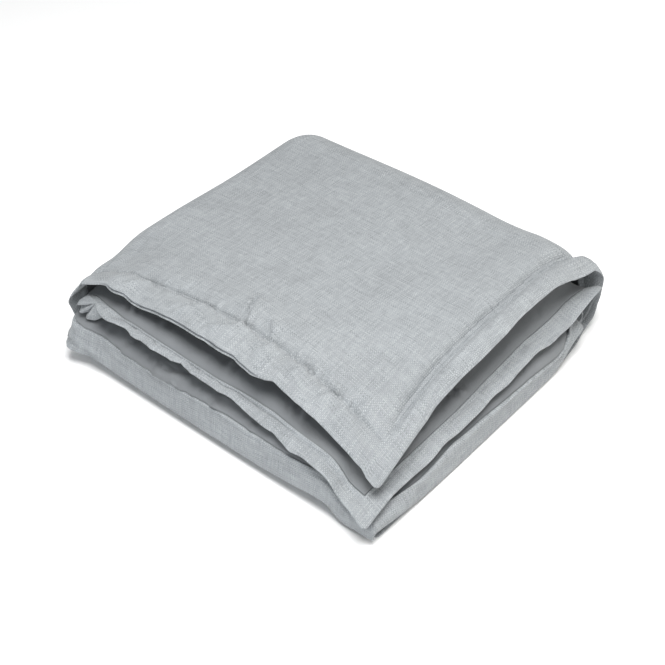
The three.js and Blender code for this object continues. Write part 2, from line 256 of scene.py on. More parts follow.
@dataclass(frozen=True)
class Pile:
    """The folded pile: where its folds start, how much cloth each takes and how each layer lies.

    All sizes are in millimetres, in a plan whose corner is the near corner of the pile.
    """

    spread: Spread = Spread()
    layers: tuple[Layer, ...] = LAYERS
    back_fold_y: float = 508.0
    right_fold_x: float = 454.0
    left_fold_x: float = 15.0
    back_fold_cloth: float = 62.0
    right_fold_cloth: float = 108.0
    left_fold_cloth: float = 30.0
    back_squareness: float = 0.92
    right_squareness: float = 0.75
    left_fold_reach: float = 12.0
    back_squeeze: float = 0.22
    right_squeeze: float = 0.25
    left_squeeze: float = 0.45
    softness: float = 6.0
    middle_line: float = 200.0
    drape_x: float = 8.0
    drape_y: float = 6.0
    drape_radius: float = 10.0
    drape_foot: float = 2.5
    drape_foot_softness: float = 6.0
    drape_end_x: tuple[float, float] = (385.0, 465.0)
    drape_end_y: tuple[float, float] = (500.0, 545.0)
    drape_end_edge: float = -9.0
    dip_depth: float = 12.0
    dip_width: float = 26.0
    dip_start_x: float = 120.0
    normal_step: float = 0.4
    fold_blend: float = 0.45
    centre: tuple[float, float] = (259.2, 274.4)

    @property
    def x_lines(self) -> tuple[float, float, float]:
        """Plan lines across which heights and front hems are given."""
        return (0.0, self.middle_line, self.right_fold_x)

    @property
    def y_lines(self) -> tuple[float, float, float]:
        """Plan lines along which heights and left edges are given."""
        return (0.0, self.middle_line, self.back_fold_y)

    @property
    def width(self) -> float:
        """Width of the flat sheet."""
        return 2.0 * self.back_fold_y + self.back_fold_cloth

    @property
    def length(self) -> float:
        """Length of the flat sheet."""
        lower = self.right_fold_x - self.left_fold_x
        return 2.0 * (self.right_fold_x + lower + self.right_fold_cloth) + self.left_fold_cloth

    def free_height(self, layer: Layer, x: Array, y: Array) -> Array:
        """Height of a layer's middle at plan positions, if nothing were beneath it."""
        rows = [curve(x, self.x_lines, layer.heights[start:start + 3]) for start in (0, 3, 6)]
        return curve(y, self.y_lines, tuple(rows))

    def drawn_in(self, layer: Layer, edge: Array, at: Array, ends: tuple[float, float]) -> Array:
        """The edge of the hanging layer, drawn in again towards the folds.

        Args:
            layer: The layer.
            edge: Its edge before that.
            at: Plan position along the edge.
            ends: Where the drawing in starts and ends.

        Returns:
            The edge's positions.
        """
        if not layer.hangs:
            return edge
        return edge + (self.drape_end_edge - edge) * ease((at - ends[0]) / (ends[1] - ends[0]))

    def left_edge(self, layer: Layer, y: Array) -> Array:
        """The x of a layer's left edge at each y."""
        return self.drawn_in(layer, curve(y, self.y_lines, layer.left), y, self.drape_end_y)

    def front_edge(self, layer: Layer, x: Array) -> Array:
        """The y of a layer's front hem at each x."""
        return self.drawn_in(layer, curve(x, self.x_lines, layer.front), x, self.drape_end_x)

    def layer_thickness(self, layer: Layer, x: Array, y: Array) -> Array:
        """Thickness of a layer.

        Args:
            layer: The layer.
            x: Plan positions.
            y: Plan positions.

        Returns:
            The whole thickness there.
        """
        distance = y - self.front_edge(layer, x)
        if layer.deck is Deck.UPPER:
            distance = np.minimum(distance, x - self.left_edge(layer, y))
        return self.spread.thickness_at(distance)

    def pile_height(self, target: Layer, x: Array, y: Array) -> Array:
        """Height of a layer's middle: where it lies freely, or on the layer beneath it.

        Args:
            target: The layer.
            x: Plan positions.
            y: Plan positions.

        Returns:
            Heights of its middle.
        """
        height = thick = np.zeros_like(x)
        for layer in self.layers[:self.layers.index(target) + 1]:
            own = self.layer_thickness(layer, x, y)
            if layer is self.layers[0]:
                height = own / 2.0
            else:
                free = self.free_height(layer, x, y)
                if layer.dips:
                    from_seam = (y - self.front_edge(layer, x) - self.spread.hem) / self.dip_width
                    free = free - self.dip_depth * np.exp(-from_seam * from_seam) * ease(x / self.dip_start_x)
                height = soft_larger(free, height + (own + thick) / 2.0 + layer.air, self.softness)
            thick = own
        return height

    def hang(self, over: Array) -> tuple[Array, Array]:
        """How cloth hangs that goes on over an edge of the pile.

        Args:
            over: Length of cloth beyond the edge.

        Returns:
            Its sideways run and its drop.
        """
        length = np.maximum(over, 0.0)
        angle = np.minimum(length / self.drape_radius, np.pi / 2.0)
        rest = np.maximum(length - self.drape_radius * np.pi / 2.0, 0.0)
        return self.drape_radius * np.sin(angle), self.drape_radius * (1.0 - np.cos(angle)) + rest

    def fold_place(self, s: Array, t: Array) -> FoldPlace:
        """Where flat points lie within the folds.

        Args:
            s: Positions across the flat sheet.
            t: Positions along it.

        Returns:
            Plan positions and fold angles.
        """
        back = np.pi * np.clip((s - self.back_fold_y) / self.back_fold_cloth, 0.0, 1.0)
        y = np.minimum(np.minimum(s, self.width - s), self.back_fold_y)
        from_end = np.minimum(t, self.length - t)
        right = np.pi * np.clip((from_end - self.right_fold_x) / self.right_fold_cloth, 0.0, 1.0)
        returning = np.maximum(2.0 * self.right_fold_x + self.right_fold_cloth - from_end, self.left_fold_x)
        beyond = from_end > self.right_fold_x + self.right_fold_cloth
        x = np.where(beyond, returning, np.minimum(from_end, self.right_fold_x))
        left_start = (self.length - self.left_fold_cloth) / 2.0
        left = np.pi * np.clip((t - left_start) / self.left_fold_cloth, 0.0, 1.0)
        return FoldPlace(x, y, back, right, left)

    def layer_point(self, layer: Layer, flat_x: Array, flat_y: Array) -> Array:
        """Points of one flat layer of the pile.

        Args:
            layer: The layer.
            flat_x: Distances from the sheet's end, measured in the layer.
            flat_y: Distances from the sheet's side, measured in the layer.

        Returns:
            Points, one row each.
        """
        fade_x = 1.0 - ease(flat_x / self.right_fold_x)
        fade_y = 1.0 - ease(flat_y / self.back_fold_y)
        start = 0.0 if layer.deck is Deck.UPPER else self.left_fold_x
        x = flat_x + (self.left_edge(layer, flat_y) - start) * fade_x
        y = flat_y + self.front_edge(layer, x) * fade_y
        if not layer.hangs:
            return np.stack([x, y, self.pile_height(layer, x, y)], axis=-1)
        run_left, drop_left = self.hang(self.drape_x - x)
        run_front, drop_front = self.hang(self.drape_y - y)
        held_x, held_y = np.maximum(x, self.drape_x), np.maximum(y, self.drape_y)
        height = self.pile_height(layer, held_x, held_y) - np.hypot(drop_left, drop_front)
        height = soft_larger(height, np.full_like(height, self.drape_foot), self.drape_foot_softness)
        return np.stack([held_x - run_left, held_y - run_front, height], axis=-1)

    def middle(self, s: Array, t: Array) -> Array:
        """The middle of the folded sheet, blended between layers where it turns from one into the next.

        Args:
            s: Positions across the flat sheet.
            t: Positions along it.

        Returns:
            Points, with one more axis than s and t.
        """
        place = self.fold_place(s, t)
        back, right = np.cos(place.back), np.cos(place.right)
        back = np.sign(back) * np.abs(back) ** self.back_squareness
        right = np.sign(right) * np.abs(right) ** self.right_squareness
        left = np.cos(place.left)
        point = np.zeros(s.shape + (3,))
        right_reach, back_reach = np.zeros_like(s), np.zeros_like(s)
        for layer in self.layers:
            half_share = (1.0 + (back if layer.half is Half.FRONT else -back)) / 2.0
            deck_share = (1.0 + (right if layer.deck is Deck.UPPER else -right)) / 2.0
            ply_share = (1.0 + (left if layer.ply is Ply.OUTER else -left)) / 2.0
            share = half_share * deck_share * ply_share
            held = share > 0.0
            if not held.any():
                continue
            point[held] += share[held, None] * self.layer_point(layer, place.x[held], place.y[held])
            right_reach += share * layer.right_reach
            back_reach += share * layer.back_reach
        point[..., 0] += right_reach * np.sin(place.right) - self.left_fold_reach * np.sin(place.left)
        point[..., 1] += back_reach * np.sin(place.back)
        return point

    def fold_share(self, s: Array, t: Array) -> Array:
        """How far flat points are into a fold or over the pile's sides.

        Args:
            s: Positions across the flat sheet.
            t: Positions along it.

        Returns:
            Shares from 0 to 1.
        """
        place = self.fold_place(s, t)
        folded = np.maximum(np.maximum(np.sin(place.back), np.sin(place.right)), np.sin(place.left))
        hanging = next(layer for layer in self.layers if layer.hangs)
        quarter = np.pi / 2.0
        inside = (place.back > quarter) & (place.right < quarter) & (place.left < quarter)
        over_left = self.drape_x - place.x - self.left_edge(hanging, place.y)
        over_front = self.drape_y - place.y - self.front_edge(hanging, place.x)
        over = np.clip(np.maximum(over_left, over_front) / self.drape_radius, 0.0, 1.0)
        return np.where(inside, np.maximum(folded, over), folded)

    def face_direction(self, s: Array, t: Array) -> Array:
        """The direction from the sheet's middle to its face: plumb in the layers, square to the folds.

        Args:
            s: Positions across the flat sheet.
            t: Positions along it.

        Returns:
            Unit directions.
        """
        step = self.normal_step
        across = self.middle(s + step, t) - self.middle(s - step, t)
        along = self.middle(s, t + step) - self.middle(s, t - step)
        square = np.cross(along, across)
        square /= np.linalg.norm(square, axis=-1, keepdims=True)
        plumb = np.zeros_like(square)
        plumb[..., 2] = np.sign(square[..., 2])
        share = ease(self.fold_share(s, t) / self.fold_blend)[..., None]
        direction = plumb + (square - plumb) * share
        return direction / np.linalg.norm(direction, axis=-1, keepdims=True)

    def hem_distance(self, s: Array, t: Array) -> Array:
        """Distance of flat points from the sheet's nearest edge."""
        return np.minimum(np.minimum(s, self.width - s), np.minimum(t, self.length - t))

    def thickness(self, s: Array, t: Array) -> Array:
        """Thickness of the sheet, squeezed in its folds.

        Args:
            s: Positions across the flat sheet.
            t: Positions along it.

        Returns:
            The whole thickness there.
        """
        place = self.fold_place(s, t)
        squeeze = self.back_squeeze * np.sin(place.back)
        squeeze = squeeze + self.right_squeeze * np.sin(place.right) + self.left_squeeze * np.sin(place.left)
        return self.spread.thickness_at(self.hem_distance(s, t)) * (1.0 - squeeze)


@dataclass(frozen=True)
class Stretch:
    """A stretch of one of the sheet's edges.

    Args:
        edge: Which edge of the flat sheet.
        start: Where the stretch starts along it, in millimetres.
        end: Where it ends.
    """

    edge: Edge
    start: float
    end: float

    def inside(self, along: Array, fade: float) -> Array:
        """How far places along the edge are inside the stretch, from 0 to 1, over a distance at each end."""
        return ease((along - self.start) / fade) * ease((self.end - along) / fade)


@dataclass(frozen=True)
class EdgeWave(Stretch):
    """A soft wave along a stretch of hem.

    Args:
        sideways: How far the edge moves in the plane of the cloth.
        lift: How far it moves square to the cloth.
        wavelength: Distance from crest to crest.
        reach: How far from the edge the wave is felt.
        seed: Number that fixes the wave's phases.
    """

    sideways: float
    lift: float
    wavelength: float
    reach: float
    seed: int

    def shape(self, along: Array) -> Array:
        """The wave's height, fading out at its two ends.

        Args:
            along: Places along the edge.

        Returns:
            Heights from -1 to 1.
        """
        phases = np.random.default_rng(self.seed).uniform(0.0, 2.0 * np.pi, len(WAVE_PARTS))
        wave = np.zeros_like(along)
        for (share, stretch), phase in zip(WAVE_PARTS, phases):
            wave = wave + share * np.sin(2.0 * np.pi * along / (self.wavelength * stretch) + phase)
        inside = np.minimum(along - self.start, self.end - along)
        return wave * ease(inside / (WAVE_FADE * self.wavelength))


@dataclass(frozen=True)
class Nudge:
    """A local push that the pile got as it was laid down.

    Args:
        s: Middle of the pushed place, across the flat sheet, in millimetres.
        t: Middle of it, along the sheet.
        reach_s: How far across the sheet it is felt.
        reach_t: How far along the sheet it is felt.
        move: How far the cloth moves to the right, to the back and up.
    """

    s: float
    t: float
    reach_s: float
    reach_t: float
    move: tuple[float, float, float]

    def moved(self, s: Array, t: Array) -> Array:
        """How far flat points move."""
        share = ease(1.0 - np.abs(s - self.s) / self.reach_s) * ease(1.0 - np.abs(t - self.t) / self.reach_t)
        return share[..., None] * np.array(self.move)


@dataclass(frozen=True)
class EdgePull:
    """How a stretch of hem was pulled about as the pile was laid down.

    Args:
        edge: Which edge of the flat sheet.
        stations: Places along it, rising, each with how far the edge moves to the right, to the back and up.
        reach: How far from the edge the cloth follows.
    """

    edge: Edge
    stations: tuple[tuple[float, float, float, float], ...]
    reach: float

    def moved(self, distance: Array, along: Array) -> Array:
        """How far flat points move.

        Args:
            distance: Distance from the edge.
            along: Place along it.

        Returns:
            The moves, one row each.
        """
        rows = np.array(self.stations)
        moves = [np.interp(along, rows[:, 0], rows[:, axis], 0.0, 0.0) for axis in (1, 2, 3)]
        return np.stack(moves, axis=-1) * (1.0 - ease(distance / self.reach))[..., None]

    def share(self, distance: Array, along: Array) -> Array:
        """How strongly flat points are pulled, from 0 to 1."""
        inside = np.minimum(along - self.stations[0][0], self.stations[-1][0] - along)
        return ease(inside / self.reach) * (1.0 - ease(distance / self.reach))


@dataclass(frozen=True)
class EdgeReach:
    """How far a stretch of hem reaches out of the pile, beyond where the fold leaves it.

    Args:
        edge: Which edge of the flat sheet.
        stations: Places along it, rising, and how far the cloth reaches out there.
        reach: How far to each side of that place the cloth follows.
        place: Distance from the edge of the place that reaches out.
    """

    edge: Edge
    stations: tuple[tuple[float, float], ...]
    reach: float = 40.0
    place: float = 0.0

    def moved(self, distance: Array, along: Array) -> Array:
        """How far flat points move.

        Args:
            distance: Distance from the edge.
            along: Place along it.

        Returns:
            The moves, one row each.
        """
        places, lengths = zip(*self.stations)
        share = 1.0 - ease(np.abs(distance - self.place) / self.reach)
        out = np.interp(along, places, lengths, 0.0, 0.0) * share
        to_left = self.edge in (Edge.LENGTH_START, Edge.LENGTH_END)
        return -out[..., None] * np.array([1.0, 0.0, 0.0] if to_left else [0.0, 1.0, 0.0])


@dataclass(frozen=True)
class Gather:
    """The hemmed end of a fold, pinched together and pleated like a fan.

    Args:
        edge: Which edge of the flat sheet is pinched.
        span: Where along it the gather starts, is full, is still full and ends, in millimetres.
        rim: Places along the edge, rising, and where the fan's rim lies there in the pile's plan.
        rim_distance: Distance of the rim from the edge, on the cloth.
        reach: Distance from the edge at which the cloth lies as the fold leaves it.
        pinch: The place that the edge is drawn to.
        pleats: Places along the edge of the valleys between the fan's lobes.
        pleat_width: Half the width of a valley.
        pleat_depth: How deep the valleys are, to the right.
        pleat_level: Share of that depth by which the lobes between them stand out.
        pleat_start: Share of the way to the rim at which the valleys have their full depth.
        pinched: How far the edge is drawn to the pinch, from 0 to 1.
    """

    edge: Edge
    span: tuple[float, float, float, float]
    rim: tuple[tuple[float, float, float, float], ...]
    rim_distance: float
    reach: float
    pinch: tuple[float, float, float]
    pleats: tuple[float, ...]
    pleat_width: float = 3.0
    pleat_depth: float = 12.0
    pleat_level: float = 0.3
    pleat_start: float = 0.6
    pinched: float = 0.94

    def drawn(self, point: Array, distance: Array, along: Array) -> tuple[Array, Array]:
        """Cloth drawn into the gather.

        Args:
            point: The cloth as the fold leaves it.
            distance: Distance from the edge.
            along: Place along it.

        Returns:
            The drawn points, and the gather's share in each from 0 to 1.
        """
        start, full, full_end, end = self.span
        share = ease((along - start) / (full - start)) * ease((end - along) / (end - full_end))
        share = share * ease((self.reach - distance) / (self.reach - self.rim_distance))
        stations = np.array(self.rim)
        rim = np.stack([np.interp(along, stations[:, 0], stations[:, axis]) for axis in (1, 2, 3)], axis=-1)
        way = np.clip(distance / self.rim_distance, 0.0, 1.0)
        fan = rim + (np.array(self.pinch) - rim) * (self.pinched * (1.0 - way))[..., None]
        valleys = sum(np.exp(-(((along - pleat) / self.pleat_width) ** 2)) for pleat in self.pleats)
        fan[..., 0] += self.pleat_depth * (valleys - self.pleat_level) * ease(way / self.pleat_start)
        return point + (fan - point) * share[..., None], share


@dataclass(frozen=True)
class HemWidth:
    """How wide the hem lies along part of an edge, where the cloth is rolled in or pulled out.

    Args:
        edge: Which edge of the flat sheet.
        stations: Places along the edge, rising, and the hem's width at each, in millimetres.
        fade: How far beyond the hem the cloth takes to lie as it was cut.
    """

    edge: Edge
    stations: tuple[tuple[float, float], ...]
    fade: float = 110.0

    def moved(self, distance: Array, along: Array, hem: float) -> Array:
        """How far flat points move away from the edge.

        Args:
            distance: Distance from the edge.
            along: Place along it.
            hem: The hem's width as it was cut.

        Returns:
            The move, in millimetres.
        """
        places, widths = zip(*self.stations)
        extra = np.interp(along, places, widths) - hem
        beyond = 1.0 - ease((distance - hem) / self.fade)
        return extra * np.where(distance < hem, distance / hem, beyond)


@dataclass(frozen=True)
class Crease:
    """A fold pressed into the cloth along a line of flat points.

    Args:
        points: Places across and along the flat sheet, in millimetres.
        width: Half the width of its valley.
        depth: How deep the valley is; a negative depth is a ridge.
        lip: Height of the fullness that lies on one side of it, to the right of its run.
    """

    points: tuple[tuple[float, float], ...]
    width: float
    depth: float
    lip: float = 0.0

    def relief(self, side: Array, run: Array) -> Array:
        """Height that the crease adds beside its line.

        Args:
            side: Distances from the line in half widths, positive to its right.
            run: Share of the line's length that is passed.

        Returns:
            Heights, negative in the valley.
        """
        start, start_depth = CREASE_START
        end, end_depth = CREASE_END
        fade = ease(run / start + start_depth) * ease((1.0 - run) / end + end_depth)
        valley = np.exp(-side * side) - BANK_HEIGHT * np.exp(-((np.abs(side) - BANK_PLACE) ** 2))
        full = np.maximum(side, 0.0) / LIP_PLACE
        return fade * (self.lip * full * np.exp(1.0 - full) - self.depth * valley)


@dataclass(frozen=True)
class Stitching(Stretch):
    """A stretch of the hem's stitch line with the small puckers that the stitching draws.

    Args:
        spacing: Mean distance between puckers.
        depth: How deep they are.
        inward: How far they run into the padding.
        outward: How far they run into the hem.
        seed: Number that fixes their places.
    """

    spacing: float
    depth: float
    inward: float
    outward: float
    seed: int


@dataclass(frozen=True)
class SeamShape(Stretch):
    """How the cloth stands beside a stretch of stitch line.

    Args:
        fade: Over what distance it starts and ends.
        tube: How far the hem puffs up.
        groove: How deep the stitch line lies.
        groove_width: Half the groove's width.
        shoulder: How far the padding puffs up beside the stitch line.
        shoulder_reach: How far from the stitch line it is highest.
        shoulder_sharpness: How quickly it falls away from there.
        inset: How far inside the hem's own width the stitch line lies.
    """

    fade: float
    tube: float
    groove: float
    groove_width: float
    shoulder: float
    shoulder_reach: float = 24.0
    shoulder_sharpness: float = 1.0
    inset: float = 0.0

    def relief(self, distance: Array, along: Array, hem: float) -> Array:
        """Height to add to the face side.

        Args:
            distance: Distance from the edge.
            along: Place along it.
            hem: The hem's width.

        Returns:
            The height, in millimetres.
        """
        tube = self.tube * np.sin(np.pi * np.clip(distance / hem, 0.0, 1.0)) ** TUBE_SHAPE
        valley = self.groove * np.exp(-(((distance - hem + self.inset) / self.groove_width) ** 2))
        inside = np.maximum(distance - hem, 0.0) / self.shoulder_reach
        puff = (inside * np.exp(1.0 - inside)) ** self.shoulder_sharpness
        return self.inside(along, self.fade) * (tube - valley + self.shoulder * puff)


@dataclass(frozen=True)
class HemLip(Stretch):
    """A stretch of hem whose edge stands open in two lips.

    Args:
        fade: Over what distance it opens and closes.
    """

    fade: float


class RimRow(NamedTuple):
    """A row of points round a panel's edge.

    share is its share of the way from the shown to the hidden side and out how far it stands out beyond the
    edge, in millimetres. Where the hem is open in lips, it stands out by lip_out instead.
    """

    share: float
    out: float
    lip_out: float = 0.0


@dataclass(frozen=True)
class Rumples:
    """All that the cloth's own handling adds to the plain folds: waves, creases, puckers and rolled hems.

    The tables come first. The sizes after them, in millimetres, are the slack round a crease within which it
    is looked for, the corners' radius and how little of it may be left, the least padding under a crease, how
    far from the edge an open hem's lips reach, how far the padding gives way under the lining's creases, from
    which thickness on and over which rise, the share of that which they use, and how the facing's hollows are
    spaced, shaped and shifted.
    """

    pile: Pile
    waves: tuple[EdgeWave, ...]
    widths: tuple[HemWidth, ...]
    seams: tuple[SeamShape, ...]
    stitching: tuple[Stitching, ...]
    face_creases: tuple[Crease, ...]
    facing_creases: tuple[Crease, ...]
    facing_seams: tuple[SeamShape, ...]
    lining_creases: tuple[Crease, ...]
    lining_seams: tuple[SeamShape, ...]
    lining_stitching: tuple[Stitching, ...]
    nudges: tuple[Nudge, ...]
    pulls: tuple[EdgePull, ...]
    reaches: tuple[EdgeReach, ...]
    gathers: tuple[Gather, ...]
    lips: tuple[HemLip, ...]
    slack: float = 30.0
    corner_radius: float = 6.0
    corner_least: float = 0.25
    least_padding: float = 3.6
    lip_reach: float = 24.0
    crease_room: float = 4.8
    crease_from: float = 6.0
    crease_rise: float = 4.0
    crease_share: float = 0.8
    hollow_spacing: float = 37.0
    hollow_least: float = 0.15
    hollow_shape: float = 0.7
    hollow_shift: float = 1.9
    hollow_shift_length: float = 61.0

    def from_edge(self, edge: Edge, s: Array, t: Array) -> tuple[Array, Array]:
        """Where flat points lie beside an edge.

        Args:
            edge: The edge.
            s: Positions across the flat sheet.
            t: Positions along it.

        Returns:
            Distances from the edge and places along it.
        """
        if edge is Edge.WIDTH_START:
            return s, t
        if edge is Edge.WIDTH_END:
            return self.pile.width - s, t
        if edge is Edge.LENGTH_START:
            return t, s
        return self.pile.length - t, s

    def flat_point(self, edge: Edge, distance: float, along: float) -> tuple[float, float]:
        """The flat point beside an edge.

        Args:
            edge: The edge.
            distance: Distance from it.
            along: Place along it.

        Returns:
            Its positions across and along the flat sheet.
        """
        if edge is Edge.WIDTH_START:
            return distance, along
        if edge is Edge.WIDTH_END:
            return self.pile.width - distance, along
        if edge is Edge.LENGTH_START:
            return along, distance
        return along, self.pile.length - distance

    def puckers(self, stretch: Stitching) -> list[Crease]:
        """Small creases that run from a stitch line into the padding and into the hem.

        Args:
            stretch: The stitched stretch.

        Returns:
            The creases, in order along the stitch line.
        """
        rng = np.random.default_rng(stretch.seed)
        seam = self.pile.spread.hem
        made = []
        place = stretch.start + stretch.spacing * rng.uniform(*PUCKER_FIRST)
        while place < stretch.end:
            strength = rng.uniform(*PUCKER_STRENGTH)
            for far, reach in ((1.0, stretch.inward), (-1.0, stretch.outward)):
                if reach == 0.0:
                    continue
                length = reach * rng.uniform(*PUCKER_LENGTH)
                lean = length * rng.uniform(*PUCKER_LEAN)
                start = self.flat_point(stretch.edge, seam + far, place)
                end = self.flat_point(stretch.edge, seam + far * length, place + lean)
                made.append(Crease((start, end), rng.uniform(*PUCKER_WIDTH), stretch.depth * strength))
            place += stretch.spacing * rng.uniform(*PUCKER_NEXT)
        return made

    def warped(self, s: Array, t: Array) -> tuple[Array, Array]:
        """Flat points moved in the plane of the cloth by the waves and rolls of its edges.

        Args:
            s: Positions across the flat sheet.
            t: Positions along it.

        Returns:
            The moved positions.
        """
        moves = {edge: np.zeros_like(s) for edge in Edge}
        for hem in self.widths:
            distance, along = self.from_edge(hem.edge, s, t)
            moves[hem.edge] += hem.moved(distance, along, self.pile.spread.hem)
        for wave in self.waves:
            distance, along = self.from_edge(wave.edge, s, t)
            moves[wave.edge] += wave.sideways * wave.shape(along) * (1.0 - ease(distance / wave.reach))
        s_moved = s + moves[Edge.WIDTH_START] - moves[Edge.WIDTH_END]
        t_moved = t + moves[Edge.LENGTH_START] - moves[Edge.LENGTH_END]
        return self.rounded(s_moved, t_moved)

    def rounded(self, s: Array, t: Array) -> tuple[Array, Array]:
        """Rounds off the sheet's four corners.

        Args:
            s: Positions across the flat sheet.
            t: Positions along it.

        Returns:
            The moved positions.
        """
        radius = self.corner_radius
        middle_s, middle_t = self.pile.width / 2.0, self.pile.length / 2.0
        over_s = np.maximum(np.abs(s - middle_s) - middle_s + radius, 0.0) / radius
        over_t = np.maximum(np.abs(t - middle_t) - middle_t + radius, 0.0) / radius
        left_s = np.sqrt(np.maximum(1.0 - over_t * over_t / 2.0, self.corner_least))
        left_t = np.sqrt(np.maximum(1.0 - over_s * over_s / 2.0, self.corner_least))
        short_s, short_t = radius * over_s * (1.0 - left_s), radius * over_t * (1.0 - left_t)
        return s - np.sign(s - middle_s) * short_s, t - np.sign(t - middle_t) * short_t

    def gathered(self, point: Array, s: Array, t: Array) -> tuple[Array, Array]:
        """Points of the folded sheet as it was laid down.

        Args:
            point: The sheet as the folds leave it.
            s: Positions across the flat sheet.
            t: Positions along it.

        Returns:
            The points with all pulls and gathers, and how far each is drawn from its fold.
        """
        drawn = np.zeros_like(s)
        for nudge in self.nudges:
            point = point + nudge.moved(s, t)
        for reach in self.reaches:
            point = point + reach.moved(*self.from_edge(reach.edge, s, t))
        for pull in self.pulls:
            point = point + pull.moved(*self.from_edge(pull.edge, s, t))
            drawn = np.maximum(drawn, pull.share(*self.from_edge(pull.edge, s, t)))
        for gather in self.gathers:
            point, share = gather.drawn(point, *self.from_edge(gather.edge, s, t))
            drawn = np.maximum(drawn, share)
        return point, drawn

    def lipped(self, s: Array, t: Array) -> Array:
        """How far the hem stands open in two lips, most at its edge.

        Args:
            s: Positions across the flat sheet.
            t: Positions along it.

        Returns:
            Shares from 0 to 1.
        """
        open_share = np.zeros_like(s)
        for lip in self.lips:
            distance, along = self.from_edge(lip.edge, s, t)
            share = lip.inside(along, lip.fade) * (1.0 - ease(distance / self.lip_reach))
            open_share = np.maximum(open_share, share)
        return open_share

    def lifted(self, s: Array, t: Array) -> Array:
        """How far the waves move flat points square to the cloth.

        Args:
            s: Positions across the flat sheet.
            t: Positions along it.

        Returns:
            Moves towards the face.
        """
        lift = np.zeros_like(s)
        for wave in self.waves:
            distance, along = self.from_edge(wave.edge, s, t)
            ahead = along + WAVE_LEAD * wave.wavelength
            lift += wave.lift * wave.shape(ahead) * (1.0 - ease(distance / wave.reach))
        return lift

    def pressed(self, creases: tuple[Crease, ...], grid: "ClothGrid", places: Array) -> Array:
        """Depth of creases on a grid of flat lines.

        Args:
            creases: The creases.
            grid: The folded sheet on its lines.
            places: Where each of the grid's points lies on the flat sheet, as the creases count it.

        Returns:
            Heights to add to the creased side, negative in a valley.
        """
        relief = np.zeros(grid.s.shape)
        for crease in creases:
            path = np.array(crease.points)
            reach = np.array([-1.0, 1.0]) * (self.slack + CREASE_REACH * crease.width)
            i0, i1 = np.searchsorted(grid.across, np.array([path[:, 0].min(), path[:, 0].max()]) + reach)
            j0, j1 = np.searchsorted(grid.along, np.array([path[:, 1].min(), path[:, 1].max()]) + reach)
            side, run = self.beside(path, places[i0:i1, j0:j1, 0], places[i0:i1, j0:j1, 1])
            relief[i0:i1, j0:j1] += crease.relief(side / crease.width, run)
        return relief

    @staticmethod
    def beside(path: Array, s: Array, t: Array) -> tuple[Array, Array]:
        """Where flat points lie beside a path.

        Args:
            path: The path's corners, one row each.
            s: Positions across the flat sheet.
            t: Positions along it.

        Returns:
            Distances from the path, positive to its right, and the share of its length that is passed.
        """
        lengths = np.linalg.norm(np.diff(path, axis=0), axis=1)
        nearest = np.full(s.shape, np.inf)
        side, run = np.zeros_like(s), np.zeros_like(s)
        passed = 0.0
        for (s0, t0), (s1, t1), length in zip(path[:-1], path[1:], lengths):
            along_s, along_t = (s1 - s0) / length, (t1 - t0) / length
            place = np.clip((s - s0) * along_s + (t - t0) * along_t, 0.0, length)
            distance = np.hypot(s - s0 - place * along_s, t - t0 - place * along_t)
            closer = distance < nearest
            right = np.sign((s - s0) * along_t - (t - t0) * along_s)
            nearest = np.where(closer, distance, nearest)
            side = np.where(closer, distance * right, side)
            run = np.where(closer, (passed + place) / lengths.sum(), run)
            passed += length
        return side, run

    def creased(
        self, creases: tuple[Crease, ...], stitching: tuple[Stitching, ...], grid: "ClothGrid",
    ) -> Array:
        """Height that creases and the puckers of stitch lines add.

        Args:
            creases: The creases, whose places move with the cloth.
            stitching: The stitched stretches, whose puckers keep to the stitch line.
            grid: The folded sheet on its lines.

        Returns:
            Heights, negative in a valley.
        """
        puckers = [pucker for stretch in stitching for pucker in self.puckers(stretch)]
        relief = self.pressed(creases, grid, grid.cloth)
        return relief + self.pressed(tuple(puckers), grid, np.stack([grid.s, grid.t], axis=-1))

    def seamed(self, seams: tuple[SeamShape, ...], grid: "ClothGrid") -> Array:
        """Height that the cloth beside stitch lines adds.

        Args:
            seams: The stitch lines.
            grid: The folded sheet on its lines.

        Returns:
            Heights to add to that side.
        """
        relief = np.zeros(grid.s.shape)
        for seam in seams:
            distance, place = self.from_edge(seam.edge, grid.s, grid.t)
            relief += seam.relief(distance, place, self.pile.spread.hem)
        return relief

    def face_relief(self, grid: "ClothGrid") -> Array:
        """Height that creases, puckers and seams add to the face side."""
        return self.creased(self.face_creases, self.stitching, grid) + self.seamed(self.seams, grid)

    def facing_relief(self, grid: "ClothGrid") -> Array:
        """Height that creases and its raised inner fold add to the hem's facing."""
        return self.creased(self.facing_creases, (), grid) + self.seamed(self.facing_seams, grid)

    def hollows(self, grid: "ClothGrid") -> Array:
        """How strongly the hem's facing is drawn in between its puckers.

        Args:
            grid: The folded sheet on its lines.

        Returns:
            Shares up to 1.
        """
        nearest = self.pile.hem_distance(grid.s, grid.t)
        depth = np.zeros_like(grid.s)
        for edge in Edge:
            distance, along = self.from_edge(edge, grid.s, grid.t)
            shift = self.hollow_shift * np.sin(along / self.hollow_shift_length)
            wave = 0.5 + 0.5 * np.sin(2.0 * np.pi * along / self.hollow_spacing + shift)
            drawn_in = self.hollow_least + (1.0 - self.hollow_least) * wave ** self.hollow_shape
            depth = np.where(distance == nearest, drawn_in, depth)
        return depth

    def lining_puff(self, grid: "ClothGrid") -> Array:
        """Height that the padding adds beneath the lining."""
        return self.seamed(self.lining_seams, grid)

    def crease_depth(self, thickness: Array) -> Array:
        """How far the padding of a sheet of that thickness gives way under the lining's creases."""
        return self.crease_room * ease((thickness - self.crease_from) / self.crease_rise)

